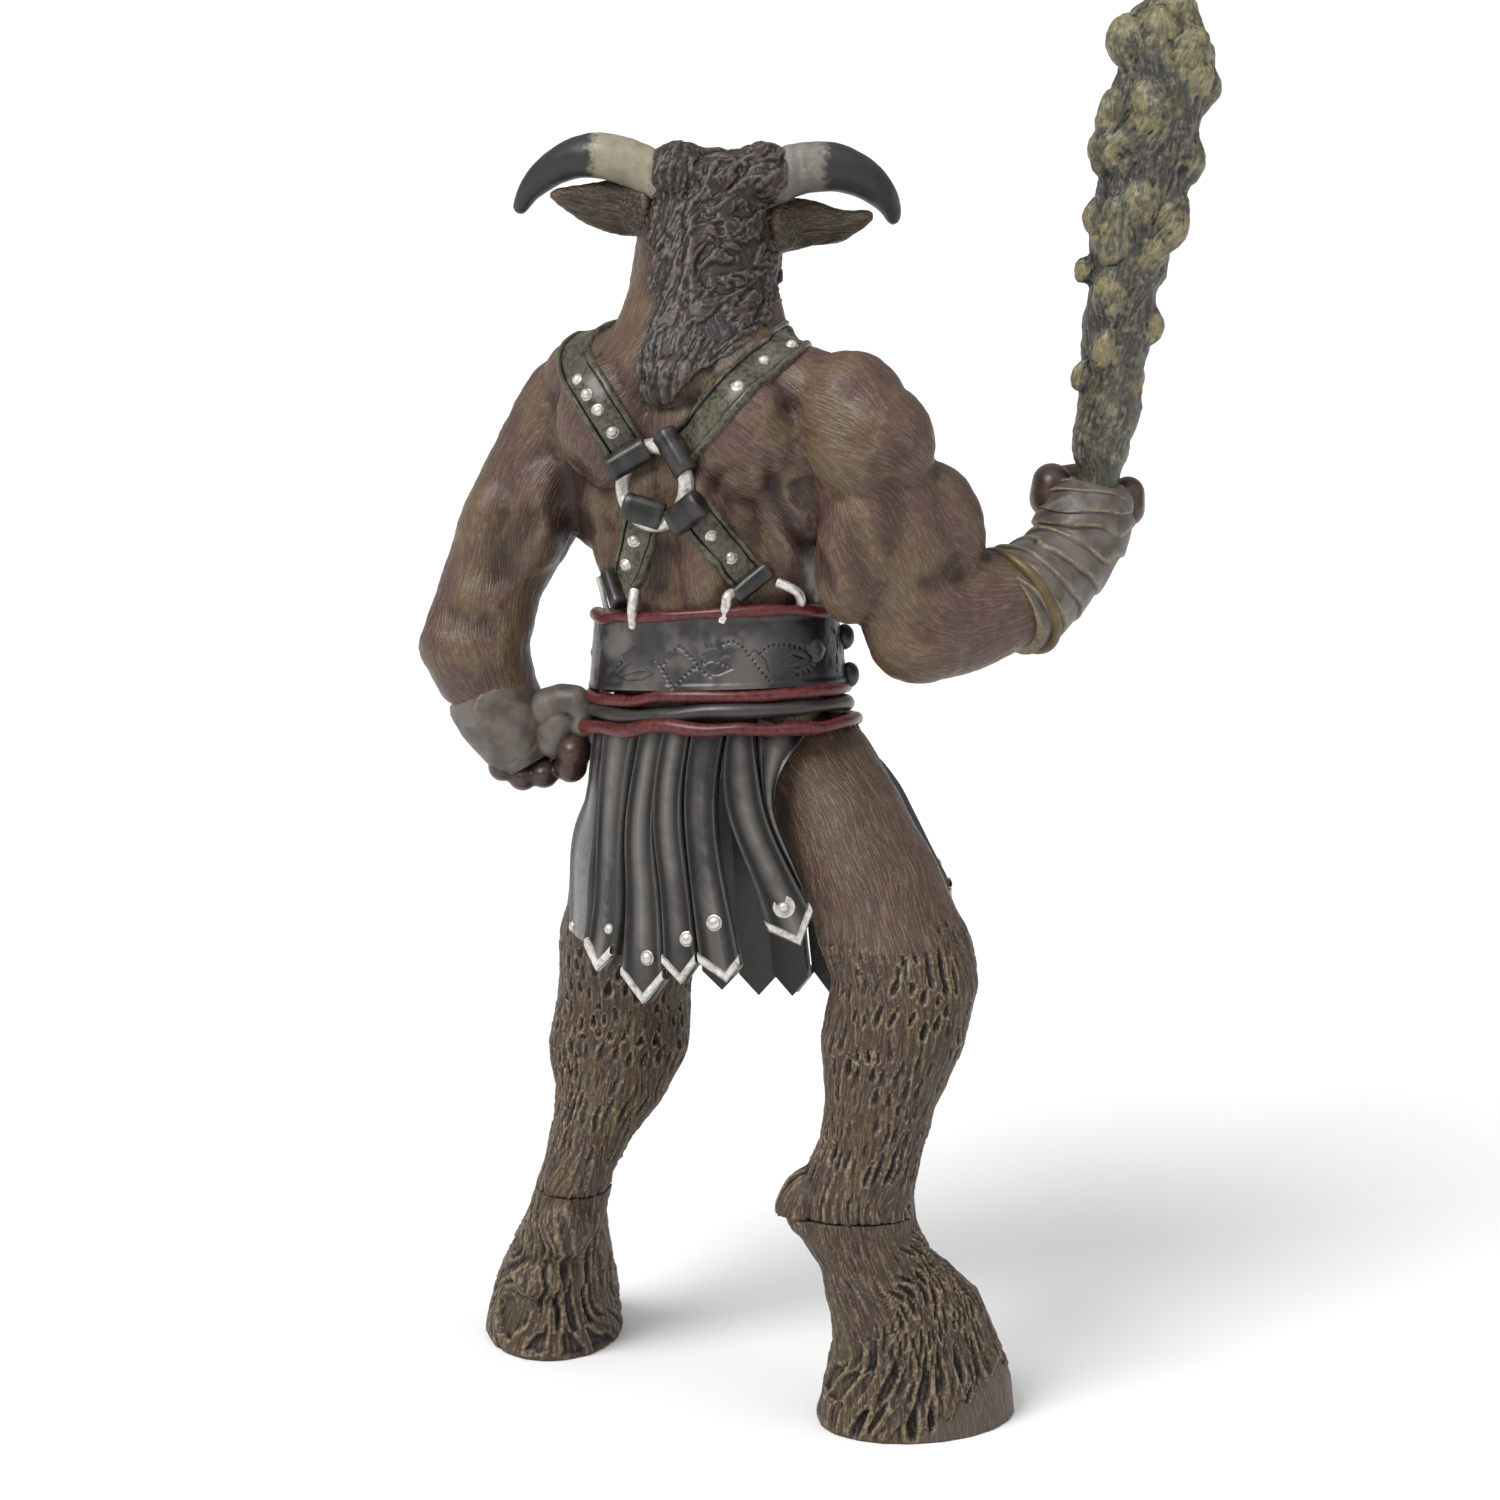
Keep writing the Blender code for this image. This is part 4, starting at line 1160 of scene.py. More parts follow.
def patch_of(obj, name, keep):
    """A copy of the part of a skin whose vertices are kept, with each face cut in four."""
    copy = bpy.data.objects.new(name, obj.data.copy())
    bpy.context.scene.collection.objects.link(copy)
    only([copy])
    bpy.ops.object.mode_set(mode="EDIT")
    bpy.ops.mesh.select_mode(type="VERT")
    bpy.ops.mesh.select_all(action="DESELECT")
    bpy.ops.object.mode_set(mode="OBJECT")
    copy.data.vertices.foreach_set("select", ~keep)
    bpy.ops.object.mode_set(mode="EDIT")
    bpy.ops.mesh.delete(type="VERT")
    bpy.ops.mesh.select_all(action="SELECT")
    bpy.ops.mesh.subdivide(number_cuts=1)
    bpy.ops.object.mode_set(mode="OBJECT")
    for stored in ("hollow", "flow", "olive", "hair", "deep"):
        copy.data.attributes.remove(copy.data.attributes[stored])
    return copy


class MINOTAUR_OT_mane(bpy.types.Operator):
    """The mane: curls and flowing locks down the back of the head and neck, ending in a tuft"""

    bl_idname = "minotaur.mane"
    bl_label = "Mane"

    def execute(self, context):
        skin = bpy.data.objects["upper_body"]
        points, normals = read(skin)
        mane = patch_of(skin, "mane", hair_share(points, normals) > 0.02)
        points, normals = read(mane)
        pairs = edges_of(mane)
        points = blurred(points, pairs, 4)
        px, py = pixels_of(points)
        share = hair_share(points, normals)
        # The lie of the hair on the photo: curls on the right half, long locks on the left, then the tuft.
        curl = step(px, 690, 704) * step(py, 345, 325)
        away_x, away_y = -0.16 - 0.62 * curl, 1.0 - 0.28 * curl
        low = step(py, 330, 360)
        tip_x, tip_y = (659 - px) / 40, (440 - py) / 40
        across, down = away_x * (1 - low) + tip_x * low, away_y * (1 - low) + tip_y * low
        _, _, up = camera_frame()
        flow = across[:, None] * np.array((1.0, 0, 0)) - down[:, None] * np.array(up)
        turn = (0.5 + 2.3 * curl) * (noise(points, 2.3, 61) - 0.5) + 0.5 * curl * np.sin(px / 7 + py / 5)
        flow = unit(flow - normals * (flow * normals).sum(axis=1)[:, None])
        side = np.cross(normals, flow)
        flow = flow * np.cos(turn)[:, None] + side * np.sin(turn)[:, None]
        clumps = streaks(points, flow, 0.72, 2.6, 62, 13)
        hairs = streaks(points, flow, 0.34, 2.0, 63, 11)
        ridge = 0.42 * np.exp(-(((px - 691) / 6) ** 2)) * step(py, 195, 215) * step(py, 300, 285)
        tuft = 0.7 * step(py, 350, 375) * step(py, 408, 396)
        high = 0.4 * step(clumps, 0.32, 0.62) * (0.6 + 0.4 * curl)
        high += 0.2 * step(hairs, 0.3, 0.7) * (1 - 0.4 * curl)
        push = step(share, 0.1, 0.9) * (0.45 + high + ridge + tuft) - 0.5
        write(mane, points + normals * push[:, None])
        apply_modifier(mane, "SOLIDIFY", thickness=0.5 * MM, offset=-1)
        apply_modifier(mane, "SMOOTH", iterations=1, factor=0.4)
        store_relief(mane, None, 0.045, 0.16, (3, 17))
        finish_piece(mane, "mane", "painted_pvc_mane")
        return {"FINISHED"}


# Horns from root to tip: place and radius.
HORNS = {
    "left": [
        ((-8.5, 8.5, 121.2), 2.4),
        ((-11.6, 8.8, 122.9), 2.35),
        ((-14.9, 9.0, 123.7), 2.3),
        ((-17.6, 9.8, 123.3), 2.0),
        ((-20.2, 10.7, 121.8), 1.6),
        ((-22.0, 11.4, 120.0), 1.15),
        ((-22.9, 12.0, 118.4), 0.8),
    ],
    "right": [
        ((0.8, 8.5, 120.8), 2.7),
        ((4.4, 8.8, 122.3), 2.6),
        ((8.0, 9.0, 122.6), 2.45),
        ((10.9, 9.8, 121.6), 2.05),
        ((12.9, 10.8, 120.0), 1.6),
        ((14.0, 11.6, 118.4), 1.1),
        ((14.3, 12.0, 117.3), 0.75),
    ],
}
# Ears from root to tip on the photo: pixel, half thickness and half height.
EARS = {
    "left": [
        (645, 208, 3.0, 2.8), (625, 207, 1.4, 2.9), (605, 206, 1.1, 2.6),
        (585, 203, 0.95, 1.9), (568, 198, 0.9, 1.1), (561, 195, 0.8, 0.7),
    ],
    "right": [
        (776, 226, 3.0, 2.9), (796, 224, 1.4, 2.6), (815, 223, 1.1, 2.3),
        (835, 226, 0.95, 1.8), (852, 222, 0.9, 1.2), (862, 217, 0.8, 0.75),
    ],
}
EAR_FORWARD = 9.4
HORN_TIP_FROM = 0.5  # share of a horn at which the black begins


def horn_paint(name, pale, dark):
    """Enamel on smooth PVC: ivory at the horn's root, black with a scratched edge from its middle on."""
    stain = [0.82 * value for value in pale[:3]] + [1.0]
    made = hand_paint(name, pale, stain, "#4A3F30", "#A39C88", 0.4, patch_size=1.6, bump=0.03)
    tree = made.node_tree
    shader = tree.nodes["Principled BSDF"]
    before = shader.inputs["Base Color"].links[0].from_socket
    reach = node(tree, "ShaderNodeAttribute", attribute_name="reach").outputs["Fac"]
    where = node(tree, "ShaderNodeTexCoord").outputs["Object"]
    ragged = speckle(tree, where, 0.8, 3.0, 0.7)
    edge = node(tree, "ShaderNodeMath", {0: ragged, 1: 0.22, 2: reach}, operation="MULTIPLY_ADD").outputs[0]
    share = ranged(tree, edge, HORN_TIP_FROM + 0.07, HORN_TIP_FROM + 0.14)
    tree.links.new(mixed(tree, share, before, dark), shader.inputs["Base Color"])


class MINOTAUR_OT_horns_and_ears(bpy.types.Operator):
    """The two horns and the two ears"""

    bl_idname = "minotaur.horns_and_ears"
    bl_label = "Horns and ears"

    def execute(self, context):
        c = paints()
        for side, stations in HORNS.items():
            horn = fused(chain(curved(stations)), side + "_horn", HORN_GRAIN, 5)
            points, normals = read(horn)
            root, tip = stations[0][0][0], stations[-1][0][0]
            reach = (points[:, 0] - root) / (tip - root)
            rings = np.sin(reach * 60 + 3 * noise(points, 2.0, 4)) * step(reach, 0.5, 0.1)
            push = 0.03 * rings + 0.08 * (noise(points, 1.2, 8) - 0.5)
            write(horn, points + normals * push[:, None])
            attribute(horn, "reach", np.clip(reach, 0, 1))
            store_relief(horn, None)
            pale = c.horn_pale if side == "left" else linear("#716E69")
            horn_paint(side + "_horn_enamel", pale, c.horn_dark)
            finish_piece(horn, side + "_horn", side + "_horn_enamel")
        skin = tree_of(bpy.data.objects["upper_body"])
        eyes = []
        for side in (-1, 1):
            hit, normal, _, _ = skin.find_nearest(place(FACE_MIDDLE + 7.0 * side, 19.6, 117.2))
            eyes.append(rounded(tuple((hit - normal * 0.3 * MM) / MM - FIGURE_AT), (0.85, 0.95, 0.8)))
        eyes = joined(eyes, "eyes")
        store_relief(eyes, None)
        finish_piece(eyes, "eyes", "eye_gloss")
        for side, spots in EARS.items():
            rows = [(px, py, EAR_FORWARD, (1.2, thick, tall)) for px, py, thick, tall in spots]
            stations = stations_at(rows)
            ear = fused(chain(curved(stations)), side + "_ear", FINE_GRAIN, 4)
            points, normals = read(ear)
            root, tip = np.array(stations[0][0]), np.array(stations[-1][0])
            way = (tip - root) / np.linalg.norm(tip - root)
            off = points - root
            along = off @ way
            rise = np.linalg.norm((off - along[:, None] * way)[:, [0, 2]], axis=1)
            front = step(normals[:, 1], 0.2, 0.7)
            dish = -0.7 * step(rise, 1.7, 0.4) * step(along, 3.0, 5.0) * step(along, 9.2, 7.0) * front
            flow = np.repeat(way[None], len(points), axis=0)
            flow = flow + 0.7 * (noise(points, 2.4, 3)[:, None] - 0.5) * np.cross(flow, normals)
            push = dish + 0.16 * (streaks(points, flow, 0.34, 2.0, 3) - 0.5)
            write(ear, points + normals * push[:, None])
            store_relief(ear, flow, 0.04, 0.25)
            finish_piece(ear, side + "_ear", "painted_pvc_ear")
        return {"FINISHED"}


# The section of a strap with rolled edges, as shares of its width and of its thickness.
STRAP_ACROSS = np.array([-0.5, -0.5, -0.47, -0.42, -0.37, -0.34, -0.3, 0.3, 0.34, 0.37, 0.42, 0.47, 0.5, 0.5])
STRAP_HEIGHT = np.array([-1.3, 0.5, 0.9, 1.05, 0.95, 0.5, 0.66, 0.66, 0.5, 0.95, 1.05, 0.9, 0.5, -1.3])


def strap_on(tree, name, places, normals, width, proud):
    """A leather strap laid on the skin along a path. Gives the piece and its path."""
    count = len(places)
    ribbon = Ribbon(places, normals)
    columns = STRAP_ACROSS * width
    heights = STRAP_HEIGHT * proud
    along = np.linspace(0, ribbon.length, count)
    lift = np.zeros((count, len(columns)))
    for i, v in enumerate(along):
        out = Vector(ribbon.mixed(ribbon.normals, np.array(v)))
        for j, u in enumerate(columns):
            spot = Vector(ribbon.at(u, v, 0.0))
            hit, _, _, _ = tree.ray_cast(spot + out * (6 * MM), -out)
            if hit is not None:
                lift[i, j] = np.clip((hit - spot).dot(out), -0.8 * MM, 2.5 * MM)
    evened(lift, 5)
    lift = 0.6 * lift + 0.4 * lift.mean(axis=1, keepdims=True)
    spots = np.stack(np.meshgrid(along / MM, columns / MM, [0.0], indexing="ij"), axis=-1).reshape(-1, 3)
    wear = (noise(spots, 1.1, len(name)) + noise(spots, 0.5, 3) - 1).reshape(count, -1) * 0.1 * MM
    grid = ribbon.at(columns[None, :], along[:, None], heights[None, :] + lift + wear)
    ribbon.places = ribbon.at(np.zeros(count), along, lift.mean(axis=1))
    return grid_mesh(name, grid, loop_u=True, caps=True), ribbon


def fold_end(centre, turned, size, seed):
    """The end of a strap folded back: a flattened roll lying across it, size in millimetres."""
    wide, long, high = size
    across = np.array([-0.5, -0.5, -0.485, -0.45, -0.3, -0.1, 0.1, 0.3, 0.45, 0.485, 0.5, 0.5])
    full = np.array([0.3, 0.84, 0.93, 1.0, 0.97, 1.0, 0.98, 1.0, 1.0, 0.93, 0.84, 0.3])
    turns = np.linspace(0, 2 * math.pi, 29)[:-1]
    round_y = np.sign(np.cos(turns)) * np.abs(np.cos(turns)) ** 0.75
    round_z = np.sign(np.sin(turns)) * np.abs(np.sin(turns)) ** 0.75
    x = np.repeat((across * wide)[:, None], len(turns), axis=1)
    y, z = full[:, None] * round_y[None, :] * long / 2, full[:, None] * round_z[None, :] * high / 2
    grid = np.stack([x, y, z], axis=-1)
    flat = grid.reshape(-1, 3)
    far = np.linalg.norm(flat, axis=1)[:, None] + 1e-6
    flat += 0.16 * (noise(flat, 1.3, seed)[:, None] - 0.5) * flat / far
    flat = flat @ np.array(turned.to_3x3()).T * MM + np.array(centre)
    return grid_mesh("fold", flat.reshape(grid.shape), loop_u=True, caps=True)


# The straps of the back on the photo, in pixels.
STRAPS = {
    "upper_left": [(570, 356), (577, 370), (598, 405), (628, 452)],
    "upper_right": [(806, 338), (797, 344), (766, 359), (740, 381), (713, 411), (686, 447)],
    "lower_left": [(645, 506), (641, 520), (635, 545), (623, 584)],
    "lower_right": [(694, 508), (701, 520), (720, 544), (750, 580)],
}
# Folded ends: pixel, the strap, whether at its start or end, and size across, along and up in millimetres.
FOLDS = [
    ((628, 455), "upper_left", 1, (4.6, 2.6, 2.3)),
    ((686, 449), "upper_right", 1, (4.7, 2.7, 2.3)),
    ((646, 510), "lower_left", 0, (4.0, 2.8, 2.2)),
    ((694, 512), "lower_right", 0, (4.0, 2.8, 2.2)),
    ((621, 588), "lower_left", 1, (4.2, 1.8, 1.8)),
    ((751, 581), "lower_right", 1, (4.3, 1.9, 1.9)),
]
STRAP_STUDS = [(577, 379), (586, 394), (598, 411), (612, 432), (792, 344), (764, 360), (738, 385),
               (634, 540), (625, 566), (712, 537), (731, 557)]
RING_PIXEL = (660, 485)
# Hooks over the belt's edge: pixel and height off the skin at each point, then the wire's radius.
HOOKS = [
    ([(637, 588, 0.7), (638, 596, 1.4), (639, 606, 1.6), (639, 619, 1.3)], 0.5),
    ([(735, 592, 0.8), (724, 589, 1.3), (720, 592, 1.6), (720, 602, 1.6), (722, 617, 1.3)], 0.5),
    ([(777, 582, 0.6), (787, 583, 1.2), (793, 590, 1.5), (794, 604, 1.2)], 0.48),
    ([(599, 576, 0.3), (601, 590, 0.6), (604, 603, 0.6), (610, 614, 0.3)], 0.3),
]


# The straps' run from the shoulders down the chest, as places of the trunk near the skin.
FRONT_STRAPS = {
    "upper_left": [
        (-10.6, 5.0, 105.4), (-9.2, 12.0, 101.0), (-8.2, 15.0, 94.0), (-7.4, 14.0, 86.0), (-7.0, 12.0, 78.0),
    ],
    "upper_right": [
        (10.4, 5.0, 106.4), (9.0, 12.0, 101.0), (8.0, 15.0, 94.0), (7.2, 14.0, 86.0), (6.8, 12.0, 78.0),
    ],
}
STRAP_ROWS = 44


def nearest_path(tree, spots, count):
    """Places and normals of the piece nearest to a smooth line through places of the figure."""
    line = np.array([station[0] for station in curved([(tuple(spot), 1.0) for spot in spots], 8)])
    share = np.linspace(0, 1, len(line))
    rows = []
    for k in np.linspace(0, 1, count):
        spot = place(*(np.interp(k, share, line[:, axis]) for axis in range(3)))
        hit, normal, _, _ = tree.find_nearest(spot)
        rows.append((hit, normal))
    places, normals = (np.array([row[k] for row in rows]) for k in (0, 1))
    evened(places, 8)
    evened(normals, 8)
    return places, normals


class MINOTAUR_OT_harness(bpy.types.Operator):
    """Four leather straps with studs, folded round a silver ring and hooked to the belt"""

    bl_idname = "minotaur.harness"
    bl_label = "Harness"

    def execute(self, context):
        tree = tree_of(bpy.data.objects["upper_body"])
        s = sizes()
        leather, folds, metal, ribbons = [], [], [], {}
        for name, pixels in STRAPS.items():
            width = s.strap_width * (1.06 if name.startswith("upper") else 0.96)
            places, normals = pixel_path(tree, pixels, STRAP_ROWS, 10)
            if name in FRONT_STRAPS:
                shoulder = Vector(places[0] / MM) - FIGURE_AT
                spots = [shoulder, *(trunk(*spot) for spot in FRONT_STRAPS[name])]
                front, front_normals = nearest_path(tree, spots, STRAP_ROWS)
                places = np.concatenate([front[:0:-1], places])
                normals = np.concatenate([front_normals[:0:-1], normals])
                seam = STRAP_ROWS - 1
                evened(places[seam - 8 : seam + 8], 10)
                evened(normals[seam - 14 : seam + 14], 10)
            strap, ribbons[name] = strap_on(tree, name, places, normals, width, s.strap_proud)
            leather.append(strap)
        for (px, py), name, last, size in FOLDS:
            ribbon = ribbons[name]
            hit, _ = seen([tree], px, py)
            turned = ribbon.turned(ribbon.length * last)
            out = Vector(turned.col[2][:3])
            high = 0.7 if size[2] > 1.9 else 0.1
            folds.append(fold_end(hit + out * (s.strap_proud + high * MM), turned, size, px))
        trees = [*(tree_of(obj) for obj in leather + folds), tree]
        metal += [stud_seen(trees, px, py, 0.52, 0.5) for px, py in STRAP_STUDS]
        px, py = RING_PIXEL
        middle, _ = seen([tree], px, py)
        turns = np.linspace(0, 6.28, 13)[:-1]
        round_ring = [seen([tree], px + 38 * math.cos(a), py + 38 * math.sin(a)) for a in turns]
        out = sum((h[1] for h in round_ring), Vector()).normalized()
        lift = max((h[0] - middle).dot(out) for h in round_ring)
        bpy.ops.object.select_all(action="DESELECT")
        bpy.ops.mesh.primitive_torus_add(
            major_radius=s.ring_radius, minor_radius=s.ring_wire, major_segments=56, minor_segments=14,
            location=middle + out * (lift * 0.4 + 0.45 * MM), rotation=out.to_track_quat("Z", "Y").to_euler(),
        )
        metal.append(bpy.context.object)
        for number, (hook, radius) in enumerate(HOOKS):
            places = []
            for px, py, high in hook:
                hit, normal = seen([tree], px, py)
                places.append(hit + normal * high * MM)
            metal.append(wire(f"hook_{number}", places, radius * MM))
        straps_piece = joined(leather, "harness_leather")
        store_relief(straps_piece, None, 0.07, 1.5)
        points, _ = read(straps_piece)
        patchy = noise(points, 0.8, 83) + 0.6 * noise(points, 0.35, 84) - 0.3
        attribute(straps_piece, "wear_and_sheen", 0.8 * step(patchy, 0.5, 0.8))
        finish_piece(straps_piece, "harness_leather", "painted_pvc_strap", angle=50)
        folds_piece = joined(folds, "harness_folds")
        store_relief(folds_piece, None, 0.06, 0.9)
        attribute(folds_piece, "deep", np.full(len(folds_piece.data.vertices), 0.5))
        finish_piece(folds_piece, "harness_folds", "painted_pvc_leather", angle=50)
        metal_piece = joined(metal, "harness_metal")
        store_relief(metal_piece, None, 0.08, 0.4)
        finish_piece(metal_piece, "harness_metal", "silver_enamel")
        return {"FINISHED"}


# The belt's tooling as drawn on the photo: whether stitched, then pixels.
TOOLING = [
    (True, [(612, 672), (620, 662), (632, 653), (644, 651), (655, 658), (664, 672), (673, 688)]),
    (True, [(664, 664), (672, 652), (680, 646), (690, 655), (699, 668), (710, 676)]),
    (True, [(673, 688), (684, 676), (698, 664), (712, 658), (726, 666)]),
    (True, [(722, 644), (732, 641), (742, 646), (752, 658), (762, 672), (770, 680)]),
    (True, [(760, 654), (772, 645), (790, 644), (806, 648), (816, 657), (812, 668), (798, 674)]),
    (False, [(616, 674), (626, 664), (640, 664), (652, 674), (640, 680), (626, 680), (616, 674)]),
    (False, [(622, 676), (636, 672), (648, 672)]),
    (False, [(698, 668), (710, 660), (724, 662), (732, 668), (718, 674), (704, 673), (698, 668)]),
    (False, [(748, 656), (756, 650), (766, 660), (770, 672)]),
    (False, [(784, 662), (794, 654), (806, 658), (800, 666), (786, 668)]),
]
BELT_HALF_WIDTH = 12.6
BELT_HALF_DEPTH = 9.6
BELT_TILT = (-9.0, -2.0)
BELT_TOP = 79.2
BELT_BOTTOM = 72.0
BELT_GIRTH_RADIUS = 11.5
BELT_COLUMNS, BELT_ROWS = 576, 60
ARCHES = 12  # stitched arches in a row round the belt
SIDE_STUD_HEIGHTS = (76.4, 72.6)
SIDE_STUD_ANGLE = math.radians(112)
BUCKLE_HEIGHT = 75.4


def belt_point(angle, height, out):
    """A place of the belt in metres: angle 0 is the middle of the back, height is above the floor."""
    flare = np.clip((79.0 - height) / 11, 0, 1.2) * 1.1
    width = BELT_HALF_WIDTH + out + flare
    depth = BELT_HALF_DEPTH + out + flare
    yaw = math.radians(CHEST_YAW)
    side, forward = width * np.sin(angle), -depth * np.cos(angle)
    x = side * math.cos(yaw) - forward * math.sin(yaw)
    y = side * math.sin(yaw) + forward * math.cos(yaw)
    lean_x = TRUNK_LEAN[0] * (height - TRUNK_BASE.z) + TRUNK_BASE.x
    lean_y = TRUNK_LEAN[1] * (height - TRUNK_BASE.z) + TRUNK_BASE.y
    z = height - y * math.tan(math.radians(-BELT_TILT[0])) + x * math.tan(math.radians(-BELT_TILT[1]))
    found = np.stack(np.broadcast_arrays(x + lean_x, y + lean_y, z), axis=-1)
    return (found + np.array(FIGURE_AT)) * MM


def tooling(a, h, share):
    """How far the belt's face stands out: the photo's drawing behind, crossed arches in front."""
    base = belt_point(a, h, 0.25).reshape(-1, 3) / MM - np.array(FIGURE_AT)
    pixels = np.stack(pixels_of(base), axis=1)
    cut = np.zeros(len(pixels))
    for stitched, line in TOOLING:
        far, along, _ = near_line(pixels, line)
        dashes = step(np.sin(along * 1.15), -0.6, 0.0) if stitched else 1.0
        deep, wide = (0.24, 1.7) if stitched else (0.15, 1.3)
        cut = np.maximum(cut, deep * np.exp(-((far / wide) ** 2)) * dashes)
    found = -cut.reshape(a.shape) * (np.cos(a) > 0)
    arc = a * BELT_GIRTH_RADIUS
    pitch = BELT_GIRTH_RADIUS * 2 * math.pi / ARCHES
    rows = [0.15 + 0.6 * np.sin(math.pi * ((arc / pitch + begun) % 1)) for begun in (0, 0.5)]
    off = np.minimum(*(np.abs(share - row) for row in rows)) * (BELT_TOP - BELT_BOTTOM)
    return found - 0.2 * np.exp(-((off / 0.2) ** 2)) * step(np.sin(arc * 9.5), -0.5, 0.1) * (np.cos(a) <= 0)


def roll(name, height, radius, out, wobble=0.9):
    """A rolled edge round the belt."""
    angles = np.linspace(0, 2 * math.pi, 161)[:-1]
    turns = np.linspace(0, 2 * math.pi, 13)[:-1]
    ring = np.stack([np.cos(angles), np.sin(angles), 0 * angles], axis=1)
    wave = wobble * (noise(ring * 3, 1.0, int(height)) - 0.5)
    radius = radius * (0.85 + 0.4 * noise(ring * 4, 1.0, int(height) + 3))[:, None]
    grid = belt_point(
        angles[:, None],
        height + wave[:, None] + radius * np.sin(turns)[None, :],
        out + radius * np.cos(turns)[None, :],
    )
    return grid_mesh(name, grid, loop_u=True, loop_v=True)


class MINOTAUR_OT_belt(bpy.types.Operator):
    """The wide tooled belt with its red rolls, side studs and a plain oval buckle in front"""

    bl_idname = "minotaur.belt"
    bl_label = "Belt"

    def execute(self, context):
        angles = np.linspace(0, 2 * math.pi, BELT_COLUMNS + 1)[:-1]
        a, h = np.meshgrid(angles, np.linspace(BELT_TOP, BELT_BOTTOM, BELT_ROWS))
        arc = a * BELT_GIRTH_RADIUS
        share = (h - BELT_BOTTOM) / (BELT_TOP - BELT_BOTTOM)
        spots = np.stack([arc.ravel(), h.ravel(), 0 * arc.ravel()], axis=1)
        rim = 0.12 * (step(share, 0.9, 0.96) + step(share, 0.1, 0.04))
        pucker = 0.22 * (noise(spots, 2.6, 6) - 0.5) + 0.05 * (noise(spots, 0.7, 7) - 0.5)
        out = 0.25 + tooling(a, h, share) + rim + pucker.reshape(arc.shape)
        band = grid_mesh("belt_band", belt_point(a, h, out), loop_u=True)
        lower = roll("belt_fold", 69.75, 0.72, -0.15)
        rolls = [
            roll("belt_top", BELT_TOP, 0.56, 0.1), roll("belt_second", 71.2, 0.6, 0.0),
            roll("belt_third", 68.2, 0.62, 0.65),
        ]
        knobs = []
        for height in SIDE_STUD_HEIGHTS:
            spot = Vector(belt_point(SIDE_STUD_ANGLE, height, 0.5))
            knobs.append(rounded(tuple(spot / MM - FIGURE_AT), (1.0, 1.0, 1.3)))
        inner = roll("belt_inner", 75.5, 3.8, -3.9, 0.0)
        leather = joined([band, lower, inner, *knobs], "belt_leather")
        store_relief(leather, None, 0.045, 4.0)
        points, normals = read(leather)
        px, py = pixels_of(points)
        back = step(-normals[:, 1], -0.2, 0.2)
        # Painted shadow: the right part of the belt's back, where the arm's shadow falls, is darkened; the
        # fold, inner wall and side knobs are painted darker all over.
        dark = back * 0.95 * step(px, 740, 812)
        dark[arc.size :] = 0.8
        attribute(leather, "deep", dark)
        # A lighter grey patch at the middle of the back, and painted light over the belt's left part, where
        # the lamp falls.
        patch = np.exp(-(((px - 724) / 34) ** 2) - ((py - 648) / 14) ** 2)
        patchy = step(noise(points, 0.6, 81) + 0.5 * noise(points, 0.25, 82), 0.45, 1.0)
        soft = 0.45 * step(noise(points, 3.5, 85) + 0.3 * noise(points, 0.8, 86), 0.4, 0.9)
        soft *= step(px, 800, 760)
        attribute(leather, "wear_and_sheen", back * np.maximum(0.6 * patch * patchy, soft))
        finish_piece(leather, "belt_leather", "painted_pvc_leather")
        red = joined(rolls, "belt_rolls")
        store_relief(red, None, 0.05, 0.2)
        finish_piece(red, "belt_rolls", "painted_pvc_red_roll")
        spot = Vector(belt_point(math.pi, BUCKLE_HEIGHT, 0.6))
        plate = rounded(tuple(spot / MM - FIGURE_AT), (4.4, 1.1, 3.3), TRUNK_TURN, 4)
        proud = trunk(0, 0.9, 0) - trunk(0, 0, 0)
        boss = rounded(tuple(spot / MM - FIGURE_AT + proud), (2.2, 0.9, 1.6), TRUNK_TURN, 4)
        buckle = joined([plate, boss], "belt_buckle")
        store_relief(buckle, None)
        finish_piece(buckle, "belt_buckle", "silver_enamel")
        return {"FINISHED"}


def skirt_place(angle, share):
    """A place of the skirt and its outward direction: share is 0 at the belt and 1 at the hem."""
    a = math.radians(angle)
    width, depth = 12.9 + 4.4 * share, 10.1 + 3.4 * share
    height = 68.6 - 25.6 * share
    spot = trunk(width * math.sin(a), -depth * math.cos(a), height)
    spot.z += 2.6 * math.sin(a) * share - 4.6 * share * max(0, -math.cos(a)) ** 2
    if 90 < angle < 140:
        spot += Vector((3.5, 2.5, 2.0)) * share
    out = trunk(math.sin(a), -math.cos(a), 68.0) - trunk(0, 0, 68.0)
    return (spot + FIGURE_AT) * MM, (out + Vector((0, 0, 0.17))).normalized()


# Edges between the strips on the photo, in pixels.
EDGE_A = [(613, 727), (609, 757), (603, 790), (602, 823), (603, 857), (602, 890), (597, 923), (596, 955)]
EDGE_B = [(667, 727), (659, 763), (657, 790), (657, 823), (658, 857), (663, 890), (665, 923)]
EDGE_C = [(694, 727), (688, 763), (684, 787), (686, 823), (687, 857), (692, 890), (697, 923)]
